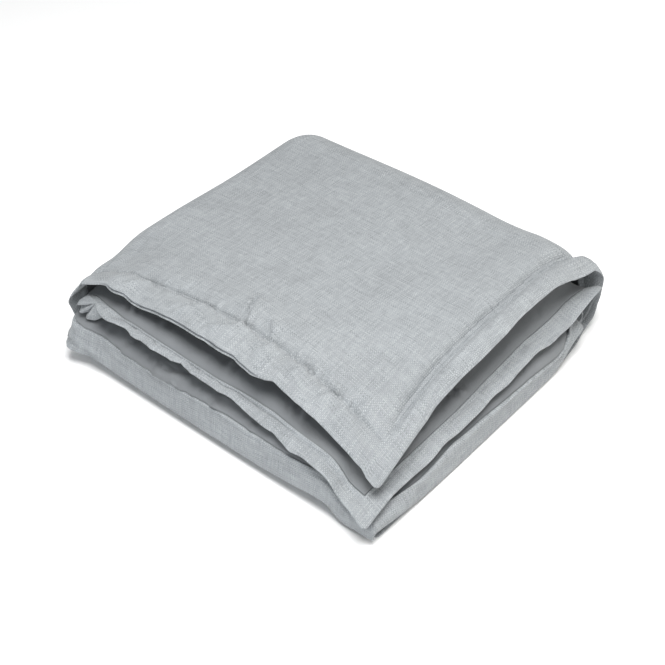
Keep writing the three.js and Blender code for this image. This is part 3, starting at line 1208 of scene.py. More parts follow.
    def lining_relief(self, grid: "ClothGrid") -> Array:
        """Height that puffs, creases and puckers add to the lining's outside.

        Args:
            grid: The folded sheet on its lines.

        Returns:
            Heights, negative in a valley.
        """
        thickness = self.pile.thickness(grid.s, grid.t)
        creases = self.creased(self.lining_creases, self.lining_stitching, grid)
        creases = np.maximum(creases, -self.crease_share * self.crease_depth(thickness))
        deepest = -np.maximum(thickness - self.least_padding, 0.0)
        return np.maximum(self.lining_puff(grid) + creases, deepest)


class ClothGrid(NamedTuple):
    """The folded sheet on a grid of flat lines: its flat points, their places and their face directions."""

    across: Array
    along: Array
    s: Array
    t: Array
    cloth: Array
    point: Array
    direction: Array
    squeeze: Array


def spaced(start: float, end: float, step: float) -> list[float]:
    """Evenly spaced lines after start, up to and including end, about a step apart."""
    count = max(1, round((end - start) / step))
    return [start + (end - start) * (n + 1) / count for n in range(count)]


@dataclass
class ClothPanel:
    """A closed panel of folded cloth, with a fine shown side and a coarse hidden one.

    The other steps are those on the top layer's front half, as far along as its seam is puckered, on the rest
    of that layer, in the lower layers and in each fold.

    Args:
        name: The piece's name.
        pile: The folded pile that it lies in.
        rumples: The waves and creases of the cloth.
        hem_lines: Distances from the edge of the lines that follow it.
        hidden_stride: How many lines a cell of the hidden side spans.
        half_step: Distance between lines in the layers that show at the openings only, in millimetres.
        turn_rate: How soon cloth that is drawn out of its fold turns square to its new run.
        drawn_squeeze: How far it is squeezed there.
    """

    name: str
    pile: Pile
    rumples: Rumples
    hem_lines: tuple[float, ...]
    hidden_stride: int
    half_step: float = 11.0
    turn_rate: float = 4.0
    drawn_squeeze: float = 0.55
    seam_step: float = 2.6
    top_step: float = 9.0
    puckered: float = 115.0
    lower_step: float = 24.0
    back_fold_step: float = 2.8
    outer_fold_step: float = 4.0
    inner_fold_step: float = 6.0
    left_fold_step: float = 2.5

    def width_lines(self) -> Array:
        """Lines across the flat sheet, close together where the cloth shows or folds.

        Returns:
            Their places.
        """
        pile, inner = self.pile, self.hem_lines[-1]
        fold_end = pile.back_fold_y + pile.back_fold_cloth
        lines = list(self.hem_lines)
        lines += spaced(inner, pile.back_fold_y, self.seam_step)
        lines += spaced(pile.back_fold_y, fold_end, self.back_fold_step)
        lines += spaced(fold_end, pile.width - inner, self.half_step)[:-1]
        lines += [pile.width - distance for distance in reversed(self.hem_lines)]
        return np.array(lines)

    def length_lines(self) -> Array:
        """Lines along the flat sheet, close together where the cloth shows or folds.

        Returns:
            Their places.
        """
        pile, inner = self.pile, self.hem_lines[-1]
        lower_start = pile.right_fold_x + pile.right_fold_cloth
        half, left_half = pile.length / 2.0, pile.left_fold_cloth / 2.0
        lines = list(self.hem_lines)
        for end, step in (
            (self.puckered, self.seam_step),
            (pile.right_fold_x, self.top_step),
            (lower_start, self.outer_fold_step),
            (half - left_half, self.lower_step),
            (half + left_half, self.left_fold_step),
            (pile.length - lower_start, self.lower_step),
            (pile.length - pile.right_fold_x, self.inner_fold_step),
            (pile.length - inner, self.half_step),
        ):
            lines += spaced(lines[-1], end, step)
        lines = lines[:-1] + [pile.length - distance for distance in reversed(self.hem_lines)]
        return np.array(lines)

    def laid_out(self) -> ClothGrid:
        """Folds the sheet on this panel's lines.

        Returns:
            The folded sheet, with its waves and pulls.
        """
        across, along = self.width_lines(), self.length_lines()
        s, t = np.meshgrid(across, along, indexing="ij")
        s_moved, t_moved = self.rumples.warped(s, t)
        direction = self.pile.face_direction(s_moved, t_moved)
        point = self.pile.middle(s_moved, t_moved) + direction * self.rumples.lifted(s, t)[..., None]
        point, drawn = self.rumples.gathered(point, s, t)
        square = np.cross(np.gradient(point, axis=1), np.gradient(point, axis=0))
        square /= np.maximum(np.linalg.norm(square, axis=-1, keepdims=True), TINY)
        direction = direction + (square - direction) * ease(drawn * self.turn_rate)[..., None]
        direction /= np.linalg.norm(direction, axis=-1, keepdims=True)
        cloth = np.stack([s_moved, t_moved], axis=-1)
        return ClothGrid(across, along, s, t, cloth, point, direction, 1.0 - self.drawn_squeeze * drawn)

    def build(
        self, grid: ClothGrid, shown: Array, hidden: Array, band: int, rim: tuple[RimRow, ...],
    ) -> bpy.types.Object:
        """Makes the closed mesh from the shown and hidden sides' offsets.

        Args:
            grid: The folded sheet on this panel's lines.
            shown: Offset of the fine side from the sheet's middle, along the face direction.
            hidden: Offset of the other side.
            band: Number of lines from the edge within which the hidden side is fine too.
            rim: Rows of points round the edge, from the shown to the hidden side.

        Returns:
            The piece, placed in the part's frame.
        """
        rows, columns = grid.s.shape
        count = rows * columns
        ring = self.ring(rows, columns)
        inner = self.ring(rows, columns, 1)
        beyond = grid.point.reshape(-1, 3)[ring] - grid.point.reshape(-1, 3)[inner]
        beyond /= np.linalg.norm(beyond, axis=1, keepdims=True)
        sides = [grid.point + grid.direction * offset[..., None] for offset in (shown, hidden)]
        corners = [side.reshape(-1, 3) for side in sides]
        lip = self.rumples.lipped(grid.s, grid.t).reshape(-1)[ring][:, None]
        for row in rim:
            between = corners[0][ring] * (1.0 - row.share) + corners[1][ring] * row.share
            out = row.out + (row.lip_out - row.out) * lip
            corners.append(between + beyond * out)
        flat = grid.cloth.reshape(-1, 2)
        flats = np.concatenate([flat, flat] + [flat[ring]] * len(rim))
        faces = self.side_faces(rows, columns)
        hidden_faces, coarse = self.hidden_faces(rows, columns, band)
        levels = [ring] + [2 * count + row * len(ring) + np.arange(len(ring)) for row in range(len(rim))]
        levels.append(ring + count)
        strips = [
            np.stack([np.roll(top, -1), top, low, np.roll(low, -1)], axis=1)
            for top, low in zip(levels[:-1], levels[1:])
        ]
        quads = np.concatenate([faces, hidden_faces + count] + strips)
        polygons = quads.tolist() + [[count + index for index in cell] for cell in coarse]
        if shown.mean() < hidden.mean():
            polygons = [cell[::-1] for cell in polygons]
        return self.placed(np.concatenate(corners), flats, polygons)

    @staticmethod
    def ring(rows: int, columns: int, inset: int = 0) -> Array:
        """Grid indices round the edge, or beside it.

        Args:
            rows: Number of lines across the sheet.
            columns: Number of lines along it.
            inset: How many lines further in.

        Returns:
            The indices, in order round the sheet.
        """
        last_row, last_column = rows - 1 - inset, columns - 1 - inset
        along, across = np.arange(columns), np.arange(1, rows)
        i = np.concatenate([np.zeros(columns, int), across, np.full(columns - 1, rows - 1), across[-2::-1]])
        j = np.concatenate([along, np.full(rows - 1, columns - 1), along[-2::-1], np.zeros(rows - 2, int)])
        return np.clip(i, inset, last_row) * columns + np.clip(j, inset, last_column)

    @staticmethod
    def side_faces(rows: int, columns: int) -> Array:
        """Quads of a whole side."""
        first = (np.arange(rows - 1)[:, None] * columns + np.arange(columns - 1)[None, :]).ravel()
        return np.stack([first, first + 1, first + columns + 1, first + columns], axis=1)

    def hidden_faces(self, rows: int, columns: int, band: int) -> tuple[Array, list[list[int]]]:
        """Faces of the hidden side: fine quads near the edge, and large cells within that share their points.

        Args:
            rows: Number of lines across the sheet.
            columns: Number of lines along it.
            band: Number of fine lines at the edge.

        Returns:
            The quads, and the cells as lists of points.
        """
        i, j = np.divmod(np.arange((rows - 1) * (columns - 1)), columns - 1)
        edge = np.minimum(np.minimum(i, rows - 2 - i), np.minimum(j, columns - 2 - j)) < band
        quads = self.side_faces(rows, columns)[edge][:, ::-1]
        lines_i = self.strided(band, rows - 1 - band)
        lines_j = self.strided(band, columns - 1 - band)
        cells = []
        for i0, i1 in zip(lines_i[:-1], lines_i[1:]):
            for j0, j1 in zip(lines_j[:-1], lines_j[1:]):
                low = range(j0, j1) if i0 == lines_i[0] else [j0]
                high = range(j1, j0, -1) if i1 == lines_i[-1] else [j1]
                far = range(i0, i1) if j1 == lines_j[-1] else [i0]
                near = range(i1, i0, -1) if j0 == lines_j[0] else [i1]
                cell = [i0 * columns + j for j in low] + [i * columns + j1 for i in far]
                cell += [i1 * columns + j for j in high] + [i * columns + j0 for i in near]
                cells.append(cell[::-1])
        return quads, cells

    def strided(self, first: int, last: int) -> list[int]:
        """Every few line numbers from first to last, both included."""
        return list(range(first, last, self.hidden_stride)) + [last]

    def placed(self, corners: Array, flats: Array, polygons: list[list[int]]) -> bpy.types.Object:
        """Makes the mesh object from points in the pile's plan, with the flat cloth as its UV map.

        Args:
            corners: Points in millimetres, in the pile's plan.
            flats: The same points' places on the flat sheet.
            polygons: Faces as lists of point numbers.

        Returns:
            The new object.
        """
        used = np.unique(np.concatenate([np.asarray(cell) for cell in polygons]))
        renumber = np.zeros(len(corners), int)
        renumber[used] = np.arange(len(used))
        points = (corners[used] - np.array([*self.pile.centre, 0.0])) * MM
        points[:, 2] = np.maximum(points[:, 2], 0.0)
        mesh = bpy.data.meshes.new(self.name)
        mesh.from_pydata(points.tolist(), [], [renumber[cell].tolist() for cell in polygons])
        corner_points = np.zeros(len(mesh.loops), dtype=np.int32)
        mesh.loops.foreach_get("vertex_index", corner_points)
        cloth = mesh.uv_layers.new(name="cloth")
        cloth.uv.foreach_set("vector", (flats[used][corner_points] * MM).astype(np.float32).ravel())
        mesh.polygons.foreach_set("use_smooth", np.ones(len(mesh.polygons), dtype=bool))
        mesh.validate()
        piece = bpy.data.objects.new(self.name, mesh)
        bpy.context.scene.collection.objects.link(piece)
        return piece


def node_group(
    name: str, vectors: tuple[str, ...], values: dict[str, float], outputs: tuple[str, ...],
) -> bpy.types.NodeTree:
    """A new shader node group with named sockets.

    Args:
        name: The group's name.
        vectors: Its vector inputs.
        values: Its number inputs, each with its default value.
        outputs: Its outputs, which are all numbers.

    Returns:
        The group, with its input and output nodes in place.
    """
    group = bpy.data.node_groups.new(name, "ShaderNodeTree")
    for label in vectors:
        group.interface.new_socket(label, in_out="INPUT", socket_type="NodeSocketVector")
    for label, value in values.items():
        socket = group.interface.new_socket(label, in_out="INPUT", socket_type="NodeSocketFloat")
        socket.default_value = value
    for label in outputs:
        group.interface.new_socket(label, in_out="OUTPUT", socket_type="NodeSocketFloat")
    group.nodes.new("NodeGroupInput")
    group.nodes.new("NodeGroupOutput")
    return group


@dataclass
class NodeDesk:
    """Short ways to place and join nodes in one node tree."""

    tree: bpy.types.NodeTree

    def feed(self, socket: bpy.types.NodeSocket, value: object) -> None:
        """Links another node's socket to this one, or sets its value.

        Args:
            socket: The socket to feed.
            value: Another socket, a number or a colour.
        """
        if isinstance(value, bpy.types.NodeSocket):
            self.tree.links.new(value, socket)
        else:
            socket.default_value = value

    def add(self, kind: str, inputs: dict[int | str, object], **settings: object) -> bpy.types.Node:
        """Places a node.

        Args:
            kind: The node's type.
            inputs: What its inputs are fed, by number or name.
            settings: Its own properties.

        Returns:
            The node.
        """
        node = self.tree.nodes.new(kind)
        for label, value in settings.items():
            setattr(node, label, value)
        for label, value in inputs.items():
            self.feed(node.inputs[label], value)
        return node

    def math(self, operation: str, *values: object) -> bpy.types.NodeSocket:
        """The result of a math node on one to three values."""
        return self.add("ShaderNodeMath", dict(enumerate(values)), operation=operation).outputs[0]

    def mixed(self, share: object, a: object, b: object) -> bpy.types.NodeSocket:
        """A value between a and b by a share from 0 to 1."""
        return self.add("ShaderNodeMix", {0: share, 2: a, 3: b}, data_type="FLOAT").outputs[0]

    def tinted(self, share: object, a: object, b: object, blend: str = "MIX") -> bpy.types.NodeSocket:
        """A colour between a and b by a share from 0 to 1."""
        inputs = {0: share, 6: a, 7: b}
        return self.add("ShaderNodeMix", inputs, data_type="RGBA", blend_type=blend).outputs[2]

    def joined(self, x: object, y: object, z: object = 0.0) -> bpy.types.NodeSocket:
        """A vector of three values."""
        return self.add("ShaderNodeCombineXYZ", {0: x, 1: y, 2: z}).outputs[0]

    def noise(self, vector: object, scale: float, detail: float, rough: float = 0.5) -> bpy.types.NodeSocket:
        """Noise values round 0.5 at a vector."""
        inputs = {"Vector": vector, "Scale": scale, "Detail": detail, "Roughness": rough}
        return self.add("ShaderNodeTexNoise", inputs).outputs["Fac"]

    def woven(
        self, weave: bpy.types.NodeTree, **values: float,
    ) -> tuple[bpy.types.NodeSocket, bpy.types.Node]:
        """The cloth's own coordinates, and a weave's node group on them with its values."""
        cloth = self.add("ShaderNodeUVMap", {}, uv_map="cloth").outputs[0]
        return cloth, self.add("ShaderNodeGroup", {"Cloth": cloth, **values}, node_tree=weave)

    def bumped(self, height: object, distance: float, strength: float) -> bpy.types.NodeSocket:
        """Surface directions with the small relief of a height."""
        inputs = {"Height": height, "Distance": distance, "Strength": strength}
        return self.add("ShaderNodeBump", inputs).outputs[0]


@dataclass(frozen=True)
class PlainWeave:
    """A plain weave of uneven yarns, made as one node group that the finishes share.

    Lengths are in yarn widths. The drift is how often and how far yarns wander, and the crown how a yarn's
    hump flattens along its run. Yarn, set and tone say where and how roughly tones are read from noise, and
    fibre how fine and strong the fibres are in them. tone_relief is how far a tone changes a yarn's height.
    """

    drift_scale: float = 0.11
    drift_reach: float = 4.0
    drift_shifts: tuple[float, float] = (3.7, 11.3)
    crown_shape: float = 0.35
    yarn_step: float = 7.31
    set_shifts: tuple[float, float] = (0.0, 57.0)
    tone_detail: float = 2.0
    tone_rough: float = 0.6
    fibre_scale: float = 1.7
    fibre_rough: float = 0.7
    fibre_share: float = 0.4
    tone_relief: float = 0.6
    gap_shape: float = 0.5

    def group(self) -> bpy.types.NodeTree:
        """Makes the node group, on cloth coordinates in metres.

        Returns:
            A group that puts out the weave's height, each yarn's tone, which set lies over and a mask of the
            spaces between yarns, where the face finish paints shade.
        """
        group = node_group(
            "plain_weave", ("Cloth",), {"Pitch": 0.002, "Uneven": 0.3, "Slub": 0.06},
            ("Height", "Tone", "Over", "Gap"),
        )
        desk = NodeDesk(group)
        given = group.nodes["Group Input"].outputs
        result = group.nodes["Group Output"].inputs
        parts = desk.add("ShaderNodeSeparateXYZ", {0: given["Cloth"]})
        threads = [desk.math("DIVIDE", parts.outputs[axis], given["Pitch"]) for axis in (0, 1)]
        wander = []
        for thread, shift in zip(threads, self.drift_shifts):
            place = desk.joined(desk.math("ADD", threads[0], shift), threads[1])
            drift = desk.math("SUBTRACT", desk.noise(place, self.drift_scale, detail=1.0), 0.5)
            bend = desk.math("MULTIPLY", drift, given["Uneven"])
            wander.append(desk.math("ADD", thread, desk.math("MULTIPLY", bend, self.drift_reach)))
        numbers = [desk.math("FLOOR", thread) for thread in wander]
        humps = []
        for thread in wander:
            centred = desk.math("MULTIPLY_ADD", desk.math("FRACT", thread), 2.0, -1.0)
            humps.append(desk.math("SUBTRACT", 1.0, desk.math("MULTIPLY", centred, centred)))
        over = desk.math("FLOORED_MODULO", desk.math("ADD", *numbers), 2.0)
        crowns = [desk.math("POWER", hump, self.crown_shape) for hump in humps]
        warp = desk.math("MULTIPLY", humps[0], crowns[1])
        weft = desk.math("MULTIPLY", humps[1], crowns[0])
        height = desk.mixed(over, weft, warp)
        tones = []
        for number, run, shift in zip(numbers, reversed(wander), self.set_shifts):
            stretched = desk.math("MULTIPLY", run, given["Slub"])
            yarn = desk.joined(desk.math("MULTIPLY_ADD", number, self.yarn_step, shift), stretched)
            tones.append(desk.noise(yarn, 1.0, self.tone_detail, self.tone_rough))
        fibre = desk.noise(desk.joined(*threads), self.fibre_scale, self.tone_detail, self.fibre_rough)
        fibre = desk.math("MULTIPLY_ADD", fibre, self.fibre_share, -self.fibre_share / 2.0)
        tone = desk.math("ADD", desk.mixed(over, tones[1], tones[0]), fibre)
        # The spaces between yarns, as a mask. The face finish paints shade there.
        gap = desk.math("SUBTRACT", 1.0, desk.math("POWER", height, self.gap_shape))
        height = desk.math("MULTIPLY", height, desk.mixed(self.tone_relief, 1.0, tone))
        for label, value in (("Height", height), ("Tone", tone), ("Over", over), ("Gap", gap)):
            desk.feed(result[label], value)
        return group


def plain_material(name: str) -> tuple[bpy.types.Material, bpy.types.Node]:
    """A new material with only its Principled shader and output.

    Args:
        name: The material's name.

    Returns:
        The material and its shader.
    """
    material = bpy.data.materials.new(name)
    material.use_nodes = True
    return material, material.node_tree.nodes["Principled BSDF"]


@dataclass(frozen=True)
class SlubLinen:
    """The face cloth's finish: a coarse plain weave of slubbed, heathered yarn.

    Args:
        light: Colour of the lightest yarn.
        dark: Colour of the darkest yarn.
        pitch: Distance between yarns, in metres.
        uneven: How far the yarns wander.
        slub: How quickly a yarn's tone changes along it.
        relief: Height of the yarns, in metres.
        raised: How strongly that height shades.
        over_tone: How much lighter the yarns of one set are.
        tones: Yarn tones that get the darkest and the lightest colour.
        cloud_scale: How many clouds of tone lie in a metre.
        clouds: Change of shade in a cloud, and the least shade.
        gap_shade: Painted shade in the spaces between yarns, where the yarns would shade each other: its
            change there, and the shade beside them.
        roughness: Change of the roughness with the tone, and the most roughness.
        specular, sheen, sheen_roughness: What the shader's sockets of these names get.
    """

    light: tuple[float, float, float] = (0.405, 0.427, 0.442)
    dark: tuple[float, float, float] = (0.185, 0.198, 0.208)
    pitch: float = 0.0018
    uneven: float = 0.3
    slub: float = 0.06
    relief: float = 0.0012
    raised: float = 0.6
    over_tone: float = 0.12
    tones: tuple[float, float] = (0.25, 0.85)
    cloud_scale: float = 14.0
    clouds: tuple[float, float] = (0.22, 0.89)
    gap_shade: tuple[float, float] = (-0.38, 1.03)
    roughness: tuple[float, float] = (-0.12, 0.98)
    specular: float = 0.25
    sheen: float = 0.12
    sheen_roughness: float = 0.5

    def material(self, weave: bpy.types.NodeTree) -> bpy.types.Material:
        """Makes the finish's material.

        Args:
            weave: The weave's node group.

        Returns:
            The material.
        """
        material, shader = plain_material("slub_linen")
        desk = NodeDesk(material.node_tree)
        cloth, yarns = desk.woven(weave, Pitch=self.pitch, Uneven=self.uneven, Slub=self.slub)
        height, tone, over, gap = (yarns.outputs[label] for label in ("Height", "Tone", "Over", "Gap"))
        toned = desk.math("MULTIPLY_ADD", over, self.over_tone, tone)
        darkest, lightest = self.tones
        inputs = {"Value": toned, "From Min": darkest, "From Max": lightest}
        share = desk.add("ShaderNodeMapRange", inputs).outputs[0]
        yarn = desk.tinted(share, (*self.dark, 1.0), (*self.light, 1.0))
        clouds = desk.math("MULTIPLY_ADD", desk.noise(cloth, self.cloud_scale, detail=3.0), *self.clouds)
        # Painted shade: the colour is darkened in the spaces between yarns, where the yarns would shade each
        # other. Random clouds of tone also vary it.
        shade = desk.math("MULTIPLY", clouds, desk.math("MULTIPLY_ADD", gap, *self.gap_shade))
        shaded = desk.tinted(1.0, yarn, desk.joined(shade, shade, shade), "MULTIPLY")
        desk.feed(shader.inputs["Base Color"], shaded)
        desk.feed(shader.inputs["Roughness"], desk.math("MULTIPLY_ADD", tone, *self.roughness))
        shader.inputs["Specular IOR Level"].default_value = self.specular
        shader.inputs["Sheen Weight"].default_value = self.sheen
        shader.inputs["Sheen Roughness"].default_value = self.sheen_roughness
        desk.feed(shader.inputs["Normal"], desk.bumped(height, self.relief, self.raised))
        return material


@dataclass(frozen=True)
class SmoothLining:
    """The lining's finish: a fine, close weave with a faint sheen and soft handling marks.

    Args:
        light, dark, pitch, uneven, relief, raised, roughness, specular, sheen: As in the face cloth's finish.
        cloud_scale: How many clouds of tone lie in a metre.
        cloud_share: How much of the tone they make up.
        mark_scale: How many handling marks lie in a metre.
        mark_height: Their height, in yarn heights.
    """

    light: tuple[float, float, float] = (0.182, 0.192, 0.2)
    dark: tuple[float, float, float] = (0.142, 0.15, 0.157)
    pitch: float = 0.0007
    uneven: float = 0.15
    relief: float = 0.00018
    raised: float = 0.5
    cloud_scale: float = 22.0
    cloud_share: float = 0.6
    mark_scale: float = 35.0
    mark_height: float = 4.0
    roughness: tuple[float, float] = (-0.15, 0.9)
    specular: float = 0.3
    sheen: float = 0.08

    def material(self, weave: bpy.types.NodeTree) -> bpy.types.Material:
        """Makes the finish's material.

        Args:
            weave: The weave's node group.

        Returns:
            The material.
        """
        material, shader = plain_material("smooth_lining")
        desk = NodeDesk(material.node_tree)
        cloth, yarns = desk.woven(weave, Pitch=self.pitch, Uneven=self.uneven)
        clouds = desk.noise(cloth, self.cloud_scale, detail=4.0, rough=0.6)
        tone = desk.mixed(self.cloud_share, yarns.outputs["Tone"], clouds)
        desk.feed(shader.inputs["Base Color"], desk.tinted(tone, (*self.dark, 1.0), (*self.light, 1.0)))
        desk.feed(shader.inputs["Roughness"], desk.math("MULTIPLY_ADD", tone, *self.roughness))
        shader.inputs["Specular IOR Level"].default_value = self.specular
        shader.inputs["Sheen Weight"].default_value = self.sheen
        marks = desk.math("MULTIPLY", desk.noise(cloth, self.mark_scale, detail=3.0), self.mark_height)
        height = desk.math("ADD", yarns.outputs["Height"], marks)
        desk.feed(shader.inputs["Normal"], desk.bumped(height, self.relief, self.raised))
        return material


@dataclass
class FacePanel:
    """The face cloth with its wadding and its turned hem.

    Args:
        pile: The folded pile.
        rumples: The waves and creases of the cloth.
        finish: The cloth's finish.
        hem_lines: Distances from the edge of the mesh lines that follow it, in millimetres.
        band: How many of those lines are fine on the hidden side too.
        hidden_stride: How many lines a cell of the hidden side spans.
        least_hem: Least thickness of the hem and of the padding.
        hollow, hollow_place, hollow_width: How far, where and how wide the hem's facing is drawn in.
        lip_depth: How much thicker the hem is where its edge stands open.
        rim: Rows of points round the edge.
    """

    pile: Pile
    rumples: Rumples
    finish: SlubLinen = SlubLinen()
    hem_lines: tuple[float, ...] = (
        0, 1.2, 3, 6, 9.5, 13, 17, 21, 25, 28.5, 30.8, 32.4, 34, 36, 37, 37.8, 38.5, 40, 42, 44.5, 47.5, 51,
        55, 60,
    )
    band: int = 16
    hidden_stride: int = 4
    least_hem: float = 1.2
    hollow: float = 2.0
    hollow_place: float = 22.0
    hollow_width: float = 7.0
    lip_depth: float = 4.4
    rim: tuple[RimRow, ...] = (
        RimRow(0.1, 0.5, 0.3),
        RimRow(0.17, 0.8, -0.4),
        RimRow(0.22, 1.0, -6.0),
        RimRow(0.5, 1.1, -6.0),
        RimRow(0.57, 1.1, 0.6),
        RimRow(0.69, 1.1, 1.2),
        RimRow(0.83, 0.9, 0.9),
        RimRow(0.94, 0.5, 0.2),
    )

    def build(self) -> bpy.types.Object:
        """Makes the face cloth's mesh.

        Returns:
            The piece.
        """
        spread = self.pile.spread
        panel = ClothPanel("face_cloth_folded", self.pile, self.rumples, self.hem_lines, self.hidden_stride)
        grid = panel.laid_out()
        half = self.pile.thickness(grid.s, grid.t) * grid.squeeze / 2.0
        distance = self.pile.hem_distance(grid.s, grid.t)
        in_hem = distance < spread.hem + spread.hem_step / 2.0
        shown = half + self.rumples.face_relief(grid)
        above_lining = spread.lining_set_back + spread.lining_thick + spread.panel_gap - half
        above_lining = above_lining - self.rumples.lining_puff(grid)
        below_creases = above_lining + self.rumples.crease_depth(2.0 * half)
        within = np.clip(shown - self.least_hem, above_lining, below_creases)
        hollow = self.hollow * np.exp(-(((distance - self.hollow_place) / self.hollow_width) ** 2))
        facing = hollow * self.rumples.hollows(grid) - half
        facing = facing - self.lip_depth * self.rumples.lipped(grid.s, grid.t)
        facing = np.minimum(facing - self.rumples.facing_relief(grid), half - self.least_hem)
        return panel.build(grid, shown, np.where(in_hem, facing, within), self.band, self.rim)

    def dress(self, piece: bpy.types.Object, weave: bpy.types.NodeTree) -> None:
        """Gives the face cloth its finish and its place in the part.

        Args:
            piece: The piece.
            weave: The weave's node group.
        """
        piece.data.materials.append(self.finish.material(weave))
        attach(piece, "root")
        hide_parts("face_cloth")


@dataclass
class LiningPanel:
    """The lining, set inside the hem.

    Args:
        clearance: How far its edge stays off the hem's inner edge, in millimetres; below 0 it goes under it.
        half_step: Distance between mesh lines in the layers that show at the openings.
        pile, rumples, finish, hem_lines, hidden_stride, rim: As in the face panel.
    """

    pile: Pile
    rumples: Rumples
    finish: SmoothLining = SmoothLining()
    clearance: float = -0.45
    hem_lines: tuple[float, ...] = (40, 42, 44.5, 47.5, 51, 55, 60)
    half_step: float = 5.0
    hidden_stride: int = 3
    rim: tuple[RimRow, ...] = (RimRow(0.5, 0.2),)

    def build(self) -> bpy.types.Object:
        """Makes the lining's mesh.

        Returns:
            The piece.
        """
        spread = self.pile.spread
        edge = spread.hem + spread.hem_step + self.clearance
        lines = (edge, *self.hem_lines)
        panel = ClothPanel(
            "lining_folded", self.pile, self.rumples, lines, self.hidden_stride, self.half_step,
        )
        grid = panel.laid_out()
        outside = spread.lining_set_back - self.pile.thickness(grid.s, grid.t) / 2.0
        shown = outside - self.rumples.lining_relief(grid)
        return panel.build(grid, shown, shown + spread.lining_thick, 0, self.rim)

    def dress(self, piece: bpy.types.Object, weave: bpy.types.NodeTree) -> None:
        """Gives the lining its finish and its place in the part.

        Args:
            piece: The piece.
            weave: The weave's node group.
        """
        piece.data.materials.append(self.finish.material(weave))
        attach(piece, "root")
        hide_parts("lining")


class Lamp(NamedTuple):
    """A round soft lamp that faces the pile: its place and size in metres, its power in watts, its colour."""

    name: str
    place: tuple[float, float, float]
    size: float
    power: float
    colour: tuple[float, float, float]


@dataclass(frozen=True)
class Studio:
    """A plain pale floor, soft light and the camera.

    Sizes are in metres. The floor lies a little below the pile, so that their faces stay apart. The camera
    stands in front of the near corner and looks down on it.
    """

    floor_size: float = 12.0
    floor_drop: float = 0.0004
    floor_colour: tuple[float, float, float] = (0.93, 0.93, 0.93)
    floor_roughness: float = 0.9
    sky_colour: tuple[float, float, float] = (0.97, 0.985, 1.0)
    sky_strength: float = 0.37
    lamps: tuple[Lamp, ...] = (
        Lamp("key", (-0.42, -0.44, 2.05), 1.2, 62.5, (1.0, 0.997, 0.99)),
        Lamp("right_fill", (0.8, -1.6, 0.7), 0.9, 11.0, (1.0, 0.975, 0.92)),
        Lamp("left_fill", (-1.9, -0.1, 0.45), 1.4, 11.5, (0.92, 0.96, 1.0)),
    )
    camera_place: tuple[float, float, float] = (-1.21378, -1.01215, 1.42913)
    camera_back: tuple[float, float, float] = (-0.57062, -0.47870, 0.66726)
    picture_width: float = 665.0
    focal_pixels: float = 1500.0
    sensor: float = 36.0

    def build(self) -> None:
        """Makes the floor, the lights and the camera."""
        self.lay_floor()
        self.light()
        self.set_camera()

    def lay_floor(self) -> None:
        """Lays the floor just below the pile."""
        bpy.ops.object.select_all(action="DESELECT")
        bpy.ops.mesh.primitive_plane_add(size=self.floor_size, location=(0.0, 0.0, -self.floor_drop))
        floor = bpy.context.object
        floor.name = "floor"
        material, shader = plain_material("pale_floor")
        shader.inputs["Base Color"].default_value = (*self.floor_colour, 1.0)
        shader.inputs["Roughness"].default_value = self.floor_roughness
        floor.data.materials.append(material)

    def light(self) -> None:
        """Hangs the soft lamps, one above and one low at each side, and fills the rest with pale sky."""
        world = bpy.data.worlds.new("studio")
        bpy.context.scene.world = world
        world.use_nodes = True
        sky = world.node_tree.nodes["Background"]
        sky.inputs["Color"].default_value = (*self.sky_colour, 1.0)
        sky.inputs["Strength"].default_value = self.sky_strength
        for lamp in self.lamps:
            light = bpy.data.lights.new(lamp.name, "AREA")
            light.shape = "DISK"
            light.size = lamp.size
            light.energy = lamp.power
            light.color = lamp.colour
            holder = bpy.data.objects.new(lamp.name, light)
            holder.location = lamp.place
            holder.rotation_euler = (-Vector(lamp.place)).to_track_quat("-Z", "Y").to_euler()
            bpy.context.scene.collection.objects.link(holder)

    def set_camera(self) -> None:
        """Sets the camera up."""
        lens = bpy.data.cameras.new("camera")
        lens.sensor_width = self.sensor
        lens.lens = self.focal_pixels / self.picture_width * self.sensor
        camera = bpy.data.objects.new("camera", lens)
        camera.location = self.camera_place
        camera.rotation_mode = "QUATERNION"
        camera.rotation_quaternion = (-Vector(self.camera_back)).to_track_quat("-Z", "Y")
        bpy.context.scene.collection.objects.link(camera)
        bpy.context.scene.camera = camera
        bpy.context.scene.view_settings.view_transform = "Standard"


